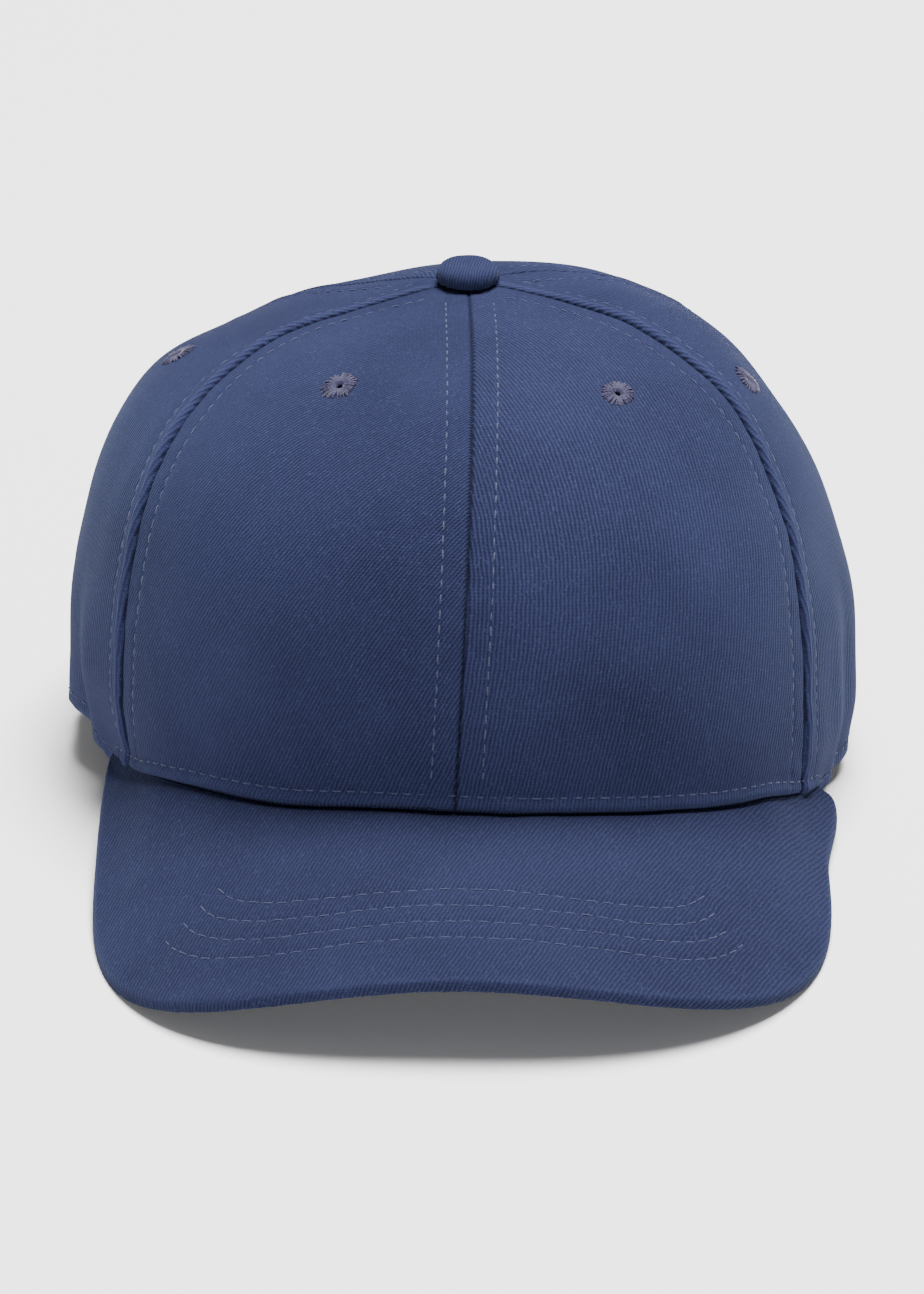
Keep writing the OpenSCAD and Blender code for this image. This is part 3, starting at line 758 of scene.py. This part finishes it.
def crown_panel(number, side):
    """One crown panel with its seams, folds and soft unevenness. side is 1 for +X and -1 for -X."""
    azimuth, elevation, across, share = panel_surface(number, side)
    signed = azimuth * side
    base = cloth_point(signed, elevation)
    normal = outward(signed, elevation)
    width = arc_lengths(base, 1)[:, -1:]
    first, second = across * width, (1 - across) * width
    up = arc_lengths(base, 0)
    in_front = ease((CORNER_AZIMUTH + 1 - azimuth) / 2)
    fold = up - BILL_THICKNESS * in_front
    if number == 2:
        fold = np.where(elevation[:1] > 0, up + BINDING_WIDTH, up)
    near_top = ease((share - 0.8) / 0.15)
    stand = seam_profile(first, SEAM_KINDS[number, 0]) + seam_profile(second, SEAM_KINDS[number, 1])
    stand = stand * (1 - 0.65 * near_top)
    wander = soft_noise(base, 9, 20 + number)
    for distance in (first, second):
        stand = stand + 0.05 * np.sin(2 * math.pi * up / 3.5) * hill(distance - STITCH_OFFSET, 1.6)
        stand = stand + 0.14 * wander * hill(distance - 3, 4)
    overhang = 0.75 * ease(fold / 1.3) * ease((5.2 - fold) / 3.4) * in_front
    roll = np.clip(fold / 1.3, 0, 1)
    rolled = -(1 - np.sqrt(np.maximum(1 - (1 - roll) ** 2, 0))) * mix(0.7, 1.5, in_front)
    stand = stand + overhang + rolled - 0.25 * hill(fold - 4, 0.7)
    stand = stand + 0.1 * soft_noise(base, 6, 31) * hill(fold - 3, 3)
    hole_point = eyelet_point(number, side)
    hole = np.linalg.norm(cell_centres(base) - hole_point, axis=-1) < EYELET_HOLE
    stand = stand + eyelet_dimple(np.linalg.norm(base - hole_point, axis=-1))
    outer = base + normal * stand[..., None]
    inner = cloth_point(signed, elevation, PANEL_THICKNESS)
    # On a back panel the weave's height counts from the rim, though the cloth starts at the arch
    from_rim = up + base[:1, :, 2] * (number == 2)
    weave = weave_coordinates((first - width / 2) * side, from_rim, TWILL_ANGLES[number, side],
                              number * 2 + side, TWILL_BENDS.get((number, side), 0.0))
    # Painted light and wear: the welt's crest and the rolled fold at the lower edge are lightened, partly
    # rubbed wear and partly painted highlight; the seam grooves and the cloth turned under at the rim are
    # darkened as painted shade.
    ridge = hill(first - 1.7, 0.9) * (number == 1)
    wear_and_painted_light = (0.5 * ridge + 0.3 * hill(fold - 1.9, 1.3) - 0.9 * hill(first, 0.4) - 0.9 * hill(second, 0.4)
            - 0.8 * ease((0.4 - fold) / 0.6))
    name = PANEL_NAMES[number] + "_" + side_name(side) + "_panel"
    cloth_piece(name, "_cloth", outer, inner, weave, panel_twill,
                wear_and_painted_light, hole, base)


def eyelet_dimple(distance):
    """How far an eyelet's tight threads draw the cloth in."""
    return -0.45 * hill(distance, EYELET_RADIUS)


PANELS = [(number, side) for number in range(3) for side in (1, -1)]
for number, side in PANELS:
    crown_panel(number, side)


# ---- Embroidered eyelets ----

def eyelet(number, side):
    """Threads that run out from the hole, of uneven length, in two crossing layers."""
    azimuth, elevation = EYELET_PLACES[number, side]
    azimuth *= side
    here = crown_point(azimuth, elevation)
    east = crown_point(azimuth + 1, elevation) - here
    north = crown_point(azimuth, elevation + 1) - here
    girth = np.array([0.5, 0.8, 0.9, 1, 0.95, 0.6])
    threads = Stitches()
    for layer, count in ((0, 46), (1, 40)):
        for k in range(count):
            turn = 2 * math.pi * (k + random.uniform(-0.3, 0.3)) / count
            far = (EYELET_RADIUS + 0.5 * math.sin(turn * 2 + number + side) + random.uniform(-0.3, 0.3)
                   + 0.5 * (random.random() < 0.12))
            r = np.array([0.75, 0.95, 1.4, 2.6, far - 0.5, far])
            lift = np.array([-0.9, 0.0, 0.42, 0.5, 0.22, -0.35]) + 0.13 * layer
            bend = turn + random.uniform(-0.12, 0.12) * (r / far)
            a = azimuth + r * np.cos(bend) / np.linalg.norm(east)
            e = elevation + r * np.sin(bend) / np.linalg.norm(north)
            normals = outward(a, e)
            centres = cloth_point(a, e) + normals * (lift + eyelet_dimple(r))[:, None]
            threads.strand(centres, normals, girth * random.uniform(0.17, 0.23), 5)
    name = PANEL_NAMES[number] + "_" + side_name(side) + "_eyelet"
    threads.make(name + "_threads", [name], material=embroidery)


for number, side in PANELS:
    eyelet(number, side)


# ---- Rows of stitches on the crown ----

def seam_row(seam, side, offsets, low, high, count=200, inset=0.0):
    """Points on the cloth beside a seam, in one column for each offset towards larger azimuths."""
    share = np.linspace(low, high, count)[:, None]
    elevation = TOP_ELEVATION * share
    azimuth = seam_azimuth(seam, share, side)
    q, p = powers(azimuth)
    girth = RIM_RADIUS * cosd(elevation) * reach(elevation, q, p)
    turned = (azimuth + np.degrees(np.asarray(offsets)[None, :] / girth)) * side
    elevation = np.broadcast_to(elevation, turned.shape)
    return cloth_point(turned, elevation, inset), outward(turned, elevation)


ARCH_TOP_SHARE = float(elevation_at(np.array(180.0), np.array(ARCH_HEIGHT))) / TOP_ELEVATION
CROWN_SEAMS = ((0, 1), (1, 1), (1, -1), (2, 1), (2, -1), (3, 1))


def panel_rows():
    threads = Stitches()
    for seam, side in CROWN_SEAMS:
        low = ARCH_TOP_SHARE + 0.1 if seam == 3 else 0.075
        points, normals = seam_row(seam, side, (-STITCH_OFFSET, STITCH_OFFSET), low, 0.93)
        for k in range(2):
            threads.run(points[:, k] - normals[:, k] * 0.2, normals[:, k])
    threads.make("panel_topstitch_thread", ["panel_topstitch"])


def rim_row():
    threads = Stitches()
    limit = 180 - ARCH_ANGLE - 4
    azimuth = np.linspace(-limit, limit, 700)
    in_front = ease((CORNER_AZIMUTH + 1 - np.abs(azimuth)) / 2)
    elevation = elevation_at(azimuth, rim_height(azimuth) + 4 + BILL_THICKNESS * in_front)
    normals = outward(azimuth, elevation)
    stand = 0.18 * in_front - 0.2
    threads.run(cloth_point(azimuth, elevation) + normals * stand[:, None], normals, pitch=3.4)
    threads.make("brim_topstitch_thread", ["brim_topstitch"])


panel_rows()
rim_row()


# ---- Inside of the crown ----

def buckram(side):
    """The canvas that stiffens a front panel."""
    share = np.linspace(0.017, 0.92, 60)[:, None]
    across = np.linspace(0.03, 0.97, 42)[None, :]
    azimuth = mix(seam_azimuth(0, share, side), seam_azimuth(1, share, side), across) * side
    elevation = np.broadcast_to(TOP_ELEVATION * share, azimuth.shape)
    outer = cloth_point(azimuth, elevation, BUCKRAM_INSET)
    inner = cloth_point(azimuth, elevation, BUCKRAM_INSET + BUCKRAM_THICKNESS)
    hole_point = eyelet_point(0, side, BUCKRAM_INSET)
    hole = np.linalg.norm(cell_centres(outer) - hole_point, axis=-1) < 2 * EYELET_HOLE
    name = "front_" + side_name(side)
    cloth_piece(name + "_buckram", "_canvas", outer, inner, grid_weave(outer, 0, side), buckram_canvas,
                hole=hole)


def seam_tape(seam, side, node, inset, low, high):
    """A tape over a seam on the inside, with a row of stitches along both edges."""
    offsets = np.linspace(-6, 6, 9)
    outer, normals = seam_row(seam, side, offsets, low, high, 90, inset)
    edge = 0.12 * soft_noise(outer, 8, 40 + seam) - 0.2 * ease(np.abs(offsets) - 5)[None, :]
    inner = seam_row(seam, side, offsets, low, high, 90, inset + TAPE_THICKNESS)[0]
    inner = inner + normals * np.minimum(edge, 0.1)[..., None]
    cloth_piece(node, "_cloth", outer, inner, grid_weave(outer, 0, seam), seam_tape_cloth)
    threads = Stitches()
    points, normals = seam_row(seam, side, (-4.6, 4.6), low, high, 90, inset + TAPE_THICKNESS)
    for k in range(2):
        threads.run(points[:, k], -normals[:, k])
    threads.make(node + "_stitches")


for side in (1, -1):
    buckram(side)
seam_tape(0, 1, "front_seam_tape", FRONT_TAPE_INSET, 0.02, 0.9)
seam_tape(1, 1, "front_left_seam_tape", FRONT_TAPE_INSET, 0.02, 0.88)
seam_tape(1, -1, "front_right_seam_tape", FRONT_TAPE_INSET, 0.02, 0.88)
seam_tape(2, 1, "back_left_seam_tape", BUCKRAM_INSET, 0.02, 0.88)
seam_tape(2, -1, "back_right_seam_tape", BUCKRAM_INSET, 0.02, 0.88)
seam_tape(3, 1, "back_seam_tape", BUCKRAM_INSET, ARCH_TOP_SHARE + 0.08, 0.88)


def band_inset(azimuth):
    return mix(BAND_FRONT_INSET, BAND_BACK_INSET, ease((np.abs(azimuth) - 116) / 14))


def band_points(azimuth, height, depth):
    """Points on the sweatband, at a height above the rim and a depth behind its outer face."""
    elevation = elevation_at(azimuth, rim_height(azimuth) + height)
    return cloth_point(azimuth, elevation, band_inset(azimuth) + depth), outward(azimuth, elevation)


def stiffener(azimuth):
    """The strip of felt behind the sweatband's cloth."""
    rows = np.linspace(1, BAND_HEIGHT - 1, 12)[:, None]
    outer = band_points(azimuth, rows, 0.0)[0]
    inner = band_points(azimuth, rows, STIFFENER_THICKNESS)[0]
    cloth_piece("sweatband_stiffener", "_felt", outer, inner, grid_weave(outer, 0, 1), stiffener_felt)


def sweatband(azimuth):
    """The sweatband's cloth, with a rolled top and two rows of stitches."""
    rows = np.array([0.3, 0.5, 1, 2, 3, 4, 5, 7, 10, 14, 18, 22, 25, 27, 29, 30.5, 31.5, 32.3, 33, 33.4,
                     33.7, 33.9, BAND_HEIGHT])[:, None]
    back, normals = band_points(azimuth, rows, STIFFENER_THICKNESS + 0.1)
    face = band_points(azimuth, rows, STIFFENER_THICKNESS + 1.1)[0]
    roll = 1 - np.sqrt(1 - np.clip(rows - (BAND_HEIGHT - 1), 0, 1) ** 2)
    hem = np.clip((rows - (BAND_HEIGHT - 0.9)) / 0.7, 0, 1) * 0.85
    soft = (0.25 * soft_noise(face, 18, 51) + 0.12 * soft_noise(face, 7, 52)
            - 0.25 * hill(rows - BAND_ROWS[0], 0.8) - 0.3 * hill(rows - BAND_ROWS[1], 0.8))
    face = face + normals * (roll * 1.2 - np.minimum(soft, 0.25))[..., None]
    back = back + normals * hem[..., None]
    # The cloth is lighter along the rolled top of the band.
    wear_and_painted_light = 0.25 * hill(rows - (BAND_HEIGHT - 1.5), 1.5)
    cloth_piece("sweatband_cover", "_cloth", face, back, grid_weave(face, 45, 2), sweatband_twill,
                wear_and_painted_light)
    threads = Stitches()
    along = np.linspace(-BAND_END + 1.5, BAND_END - 1.5, 600)
    for height in BAND_ROWS:
        points, normals = band_points(along, height, STIFFENER_THICKNESS + 1.05)
        threads.run(points + normals * 0.1, -normals, pitch=3.4)
    threads.make("sweatband_stitches")


band_azimuths = np.linspace(-BAND_END, BAND_END, 260)[None, :]
stiffener(band_azimuths)
sweatband(band_azimuths)


def binding():
    """A tape folded over the arched edge of the back panels, with one row of stitches through it."""
    turn = np.linspace(0, 180, 150)[None, :]
    path = np.array([(6.1, -0.22), (5.9, -0.5), (5.2, -0.58), (3.8, -0.52), (2, -0.58), (0.5, -0.56),
                     (-0.15, -0.42), (-0.48, -0.05), (-0.56, 0.45), (-0.48, 0.95), (-0.15, 1.32),
                     (0.5, 1.46), (2, 1.48), (3.8, 1.42), (5.2, 1.48), (5.9, 1.4), (6.1, 1.12)])
    middle = 0.45
    shrunk = np.stack([np.where(path[:, 0] < 1, path[:, 0] * 0.35 + 0.02, path[:, 0]),
                       np.where(path[:, 1] < middle, path[:, 1] + 0.34, path[:, 1] - 0.34)], -1)
    shrunk[:, 1] = np.clip(shrunk[:, 1], -0.2, 1.1)

    def place(section):
        grow, inset = section[:, :1], section[:, 1:]
        azimuth, elevation = arch_place(turn, grow)
        folded = np.where(azimuth > 180, azimuth - 360, azimuth)
        return cloth_point(folded, elevation) - outward(folded, elevation) * inset[..., None]

    outer, inner = place(path), place(shrunk)
    wobble = 0.08 * soft_noise(outer, 7, 71)
    outer = outer + grid_normals(outer) * wobble[..., None]
    weave = weave_coordinates(arc_lengths(outer, 0), arc_lengths(outer, 1), 45, 3)
    # The tape is lighter along its folded edge.
    wear_and_painted_light = 0.4 * hill(np.arange(len(path)) - 8.0, 2.2)[:, None]
    cloth_piece("arch_binding", "_cloth", outer, inner, weave, binding_twill,
                wear_and_painted_light)
    threads = Stitches()
    for inset, way in ((-0.5, 1), (1.4, -1)):
        row = place(np.array([[BINDING_ROW, inset]]))[0]
        normals = way * outward(*arch_place(turn[0], BINDING_ROW))
        threads.run(row[2:-2], normals[2:-2], pitch=3.2)
    threads.make("arch_binding_stitches")


binding()


# ---- Bill ----

def bill_plan(across, out, inset):
    """Plan of the bill, by shares of the way round it and from the seam out to its edge."""
    edge_x, edge_y = bill_edge(across, inset)
    azimuth = CORNER_AZIMUTH * across
    seam = RIM_RADIUS - 0.4 + tuck(azimuth, seam_height(azimuth))
    return mix(seam * sind(azimuth), edge_x, out), mix(-seam * cosd(azimuth), edge_y, out)


def bill_dent(x, y):
    """Relief of the bill's cloth: stitched rows, a gentle unevenness and a dip at the crown's seam."""
    rows = sum(row_groove(x, y, inset) for inset in BILL_ROW_INSETS)
    points = np.stack([x, y, np.zeros_like(x)], -1)
    seam_gap = np.hypot(x, y) - RIM_RADIUS
    at_corner = ease((CORNER_AZIMUTH - np.degrees(np.arctan2(np.abs(x), -y))) / 6)
    return (0.12 * soft_noise(points, 14, 61) + 0.14 * soft_noise(points, 40, 62) - 0.42 * rows
            - 0.6 * hill(seam_gap, 1.3) * at_corner)


def on_bill(x, y, lift):
    """Points above the bill's upper surface, or below it where lift is negative."""
    return np.stack([x, y, bill_height(x, y) + lift], -1)


def bill_top_cover(across, out):
    """The upper cover, which is drawn over the bill's edge."""
    x, y = bill_plan(across, out, 0.8)
    top = on_bill(x, y, bill_dent(x, y))
    sway = 0.2 * soft_noise(top[-1], 12, 63)
    rounds = []
    for depth, bulge in ((0.15, 0.45), (0.45, 0.75), (0.85, 0.9), (1.5, 0.84), (2.3, 0.9),
                         (2.85, 0.7), (3.15, 0.4), (3.28, 0.0)):
        rounds.append(on_bill(*bill_edge(across[0], 0.8 - bulge), sway * hill(depth - 1.6, 1.0) - depth))
    outer = np.concatenate([top, rounds])[::-1]
    lining = [on_bill(*bill_plan(across, out, 1.0), -COVER_THICKNESS)]
    for depth in (0.8, 0.9, 1.0, 1.5, 2.2, 2.5, 2.9, 3.15):
        lining.append(on_bill(*bill_edge(across[0], 1.0), -depth)[None])
    inner = np.concatenate(lining)[::-1]
    wrap = arc_lengths(outer, 0)
    fold = wrap[len(rounds)]
    edge = outer[len(rounds), :, :2]
    away = unit(np.gradient(edge, axis=0)[:, ::-1] * [1, -1])
    wrapped = edge + away * np.maximum(fold - wrap, 0)[..., None]
    flat = np.where(wrap[..., None] < fold[:, None], wrapped, outer[..., :2])
    weave = weave_coordinates(flat[..., 0], flat[..., 1], 67, 9)
    # Painted light on the cover: a painted highlight along the crease at the bill's top edge, and painted
    # shade on the band that wraps down round the edge to the underside.
    wear_and_painted_light = 0.3 * hill(wrap - 3.6, 1.2) - 0.3 * ease((3.0 - wrap) / 1.5)
    cloth_piece("bill_top_cover", "_cloth", outer, inner, weave, bill_twill,
                wear_and_painted_light)


def bill_bottom_cover(across, out):
    x, y = bill_plan(across, out, 1.2)
    low = on_bill(x, y, -BILL_THICKNESS - 0.3 * bill_dent(x, y))
    high = on_bill(x, y, COVER_THICKNESS - BILL_THICKNESS)
    weave = weave_coordinates(low[..., 0], low[..., 1], -63, 10)
    cloth_piece("bill_bottom_cover", "_cloth", low, high, weave, bill_twill)


def bill_board(across):
    """The plastic sheet between the covers."""
    x, y = bill_plan(across, np.linspace(0.05, 1, 40)[:, None], 2.0)
    high = on_bill(x, y, -COVER_THICKNESS - 0.1)
    low = on_bill(x, y, COVER_THICKNESS + 0.1 - BILL_THICKNESS)
    piece = cloth_solid("bill_board_sheet", high, low, np.zeros_like(high))
    dress(piece, board_material(), ["bill_board"])


def bill_rows():
    """The rows of stitches, on the bill's upper side and on its underside."""
    slope = math.tan(math.radians(BILL_SLOPE))
    threads = Stitches()
    for inset in BILL_ROW_INSETS:
        x, y = row_points(inset, 500)
        normals = unit(np.stack([x / BILL_ARCH_RADIUS, np.full_like(x, -slope), np.ones_like(x)], -1))
        dent = bill_dent(x, y)
        threads.run(on_bill(x, y, dent), normals, pitch=3.8, length=3.0)
        threads.run(on_bill(x, y, -BILL_THICKNESS - 0.3 * dent), -normals, pitch=3.8, length=3.0)
    threads.make("bill_stitching_thread", ["bill_stitching"], material=bill_thread)


bill_across = np.linspace(-1, 1, 241)[None, :]
bill_out = np.concatenate([np.linspace(0, 0.06, 7), np.linspace(0.06, 1, 74)[1:]])[:, None]
bill_top_cover(bill_across, bill_out)
bill_bottom_cover(bill_across, bill_out)
bill_board(bill_across)
bill_rows()


# ---- Button ----

def button():
    """Cloth drawn over the shell, with small gathers where it turns under."""
    turn = np.linspace(0, 360, 97)[:-1][None, :]
    low = button_box[0][2]
    shell = [(4.0, 0.0), (6.6, -0.1), (7.3, 0.1), (7.62, 0.6), (7.72, 1.3), (7.62, 2.1), (7.3, 2.9),
             (6.7, 3.65), (5.8, 4.25), (4.6, 4.5), (3.2, 4.6), (1.6, 4.65), (0.05, 4.66)]
    lining = [(4.0, 0.5), (6.3, 0.5), (6.75, 0.6), (6.95, 0.9), (7.0, 1.4), (6.95, 2.0), (6.7, 2.6),
              (6.1, 3.1), (5.2, 3.55), (4.1, 3.8), (2.9, 3.95), (1.4, 4.05), (0.05, 4.1)]
    profile, lining = np.array(shell), np.array(lining)
    pleats = 0.12 * np.sin(np.radians(turn) * 17 + 1) + 0.1 * np.sin(np.radians(turn) * 29 + 4)
    fade = hill(profile[:, 1:] - 0.6, 1.2)

    def spin(section, extra):
        r = section[:, :1] + extra
        z = np.broadcast_to(low + section[:, 1:], r.shape)
        return np.stack([r * sind(turn), CROWN_LEAN - r * cosd(turn), z], -1)

    outer = spin(profile, pleats * fade)
    outer = outer + [0, 0, 1] * (0.08 * soft_noise(outer, 6, 81) * (profile[:, 1:] > 3))[..., None]
    inner = spin(lining, 0 * pleats)
    weave = weave_coordinates(outer[..., 0], outer[..., 1] + outer[..., 2], 82, 12)
    # Painted highlight: the cloth is lightened along the upper shoulder of the button's dome.
    wear_and_painted_light = 0.2 * hill(profile[:, 1:] - 3.6, 0.8)
    piece = cloth_solid("button_cover_cloth", outer, inner, weave, wear_and_painted_light, ring=True)
    dress(piece, button_twill, ["button_cover"])


button()


# ---- Strap, tab and buckle ----

def at_back(angle, radius, z):
    """A point by its angle from the back centre towards +X."""
    angle, radius, z = np.broadcast_arrays(angle, radius, z)
    return np.stack([radius * sind(angle), radius * cosd(angle), z], -1)


def strap():
    """The strap, folded from a wider strip, with a row of stitches along both edges of both faces."""
    angle = np.linspace(STRAP_END, STRAP_TAIL, 160)[None, :]
    edge = np.array([0, 0.05, 0.15, 0.3, 0.5, 0.8])
    rows = np.concatenate([edge, np.linspace(1.3, STRAP_WIDTH - 1.3, 22), STRAP_WIDTH - edge[::-1]])
    stitched = (2.2, STRAP_WIDTH - 2.2)
    z = (STRAP_LOW + rows)[:, None]
    near_edge = np.clip(np.minimum(rows, STRAP_WIDTH - rows) / 0.65, 0, 1)[:, None]
    half = 0.05 + 0.6 * np.sqrt(1 - (1 - near_edge) ** 2)
    grooves = 0.12 * sum(hill(rows - height, 0.6) for height in stitched)[:, None]
    middle = (STRAP_OUTER + STRAP_INNER) / 2
    flat = at_back(angle, middle, z)
    sway = 0.06 * soft_noise(flat, 11, 91)
    outer = at_back(angle, middle + half - grooves + np.minimum(sway, 0), z)
    inner = at_back(angle, middle - half + grooves + np.maximum(sway, 0), z)
    # The strap's cloth is lighter towards its two rounded edges.
    piece = cloth_solid("back_strap_cloth", outer, inner, grid_weave(flat, 50, 14), 0.3 * (1 - near_edge))
    dress(piece, strap_twill, ["back_strap"], "strap")
    threads = Stitches()
    along = np.linspace(STRAP_END + 1.5, STRAP_TAIL - 1.5, 300)
    out = at_back(along, 1.0, 0.0)
    for height in stitched:
        for radius, way in ((STRAP_OUTER - 0.14, 1), (STRAP_INNER + 0.14, -1)):
            row = at_back(along, radius, STRAP_LOW + height)
            threads.run(row, out * way, pitch=3.2, length=2.5)
    threads.make("strap_stitching_thread", ["strap_stitching"], "strap")


def tab():
    """A strip that goes round the buckle's bar and back under the panel."""
    per_mm = math.degrees(1 / BAR_RADIUS)
    turn = np.radians(np.linspace(60, 300, 25))
    loop = 1.2
    path = np.concatenate([
        np.stack([np.linspace(38, BAR_ANGLE + 3.0 * per_mm, 12), np.full(12, 1.02)], -1),
        np.stack([BAR_ANGLE + loop * np.cos(turn) * per_mm, loop * np.sin(turn)], -1),
        np.stack([np.linspace(BAR_ANGLE + 2.6 * per_mm, 37, 12), np.full(12, 0.48)], -1)])
    path[len(path) - 12, 1] = 0.2
    plan = np.stack([BAR_RADIUS * np.radians(path[:, 0]), path[:, 1]], -1)
    ahead = np.gradient(plan, axis=0)
    side = unit(np.stack([-ahead[:, 1], ahead[:, 0]], -1))
    rows = np.linspace(STRAP_LOW + 0.3, STRAP_HIGH - 0.3, 24)[:, None]

    def place(points):
        angle, radius = np.degrees(points[:, 0] / BAR_RADIUS), BAR_RADIUS + points[:, 1]
        return at_back(angle[None, :], radius[None, :], rows)

    outer, inner = place(plan + side * 0.24), place(plan - side * 0.24)
    cloth_piece("buckle_tab", "_cloth", outer, inner, grid_weave(outer, 50, 15), strap_twill,
                0.1)


def cad_finish(node, material, width):
    """Gives a CAD node its material and small rounded edges."""
    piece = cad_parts[node]
    paint(piece, material)
    if width:
        weld = piece.modifiers.new("weld", "WELD")
        weld.merge_threshold = 0.000005
        bevel = piece.modifiers.new("bevel", "BEVEL")
        bevel.width = width
        bevel.segments = 2
        bevel.angle_limit = math.radians(35)


strap()
tab()
for node, material, width in (("buckle_frame", brass, 0.00012), ("buckle_lever", brass, 0.0002),
                              ("buckle_pin", steel, 0.0001), ("button_prong", steel, 0),
                              ("button_washer", steel, 0.0001), ("button_shell", steel, 0)):
    cad_finish(node, material, width)


# ---- Floor, light and camera ----

def floor():
    s = Shader("floor_paper")
    grain = s.noise(s.place(), 300.0, 2.0)
    s.finish(Base_Color=s.mix_colour(grain, colour(0.94, 0.94, 0.94), colour(0.96, 0.96, 0.96)),
             Roughness=0.9)
    mesh = bpy.data.meshes.new("floor")
    mesh.from_pydata([(-8, -8, 0), (8, -8, 0), (8, 12, 0), (-8, 12, 0)], [], [(0, 1, 2, 3)])
    mesh.materials.append(s.material)
    piece = add_object("floor", mesh)


def area_light(name, place, size, power):
    light = bpy.data.lights.new(name, "AREA")
    light.shape = "RECTANGLE"
    light.size, light.size_y = size
    light.energy = power
    piece = add_object(name, light)
    piece.location = place
    piece.rotation_euler = (Vector((0, 0, 0.05)) - Vector(place)).to_track_quat("-Z", "Y").to_euler()


def camera():
    """Seen from the front and above, rolled a little, from one and a half metres."""
    azimuth, elevation, roll, distance = -0.66, 24.88, 1.01, 1500.0
    target = np.array([0.0, -20.0, 50.0])
    drop, shift = 13.6, 0.46
    back = np.array([sind(azimuth) * cosd(elevation), -cosd(azimuth) * cosd(elevation), sind(elevation)])
    right = np.array([cosd(azimuth), sind(azimuth), 0])
    up = np.cross(back, right)
    across = cosd(roll) * right + sind(roll) * up
    upright = -sind(roll) * right + cosd(roll) * up
    place = target + distance * back
    aim = target - drop * upright - shift * across
    ahead = unit(aim - place)
    across = unit(across - ahead * (across @ ahead))
    upright = np.cross(across, ahead)
    lens = bpy.data.cameras.new("camera")
    lens.lens = 170.6
    lens.sensor_width = 36
    lens.clip_end = 50
    piece = add_object("camera", lens)
    turn = Matrix([list(across), list(upright), list(-ahead)]).transposed().to_4x4()
    piece.matrix_world = Matrix.Translation(Vector(place * MM)) @ turn
    bpy.context.scene.camera = piece


floor()
area_light("softbox", (0.3, 0.5, 2.6), (1.5, 1.3), 282)
area_light("front_fill", (-0.5, -3.2, 0.4), (2.4, 0.6), 82)
world = bpy.data.worlds.new("studio")
world.use_nodes = True
world.node_tree.nodes["Background"].inputs[0].default_value = (1, 1, 1, 1)
world.node_tree.nodes["Background"].inputs[1].default_value = 0.13
bpy.context.scene.world = world
camera()
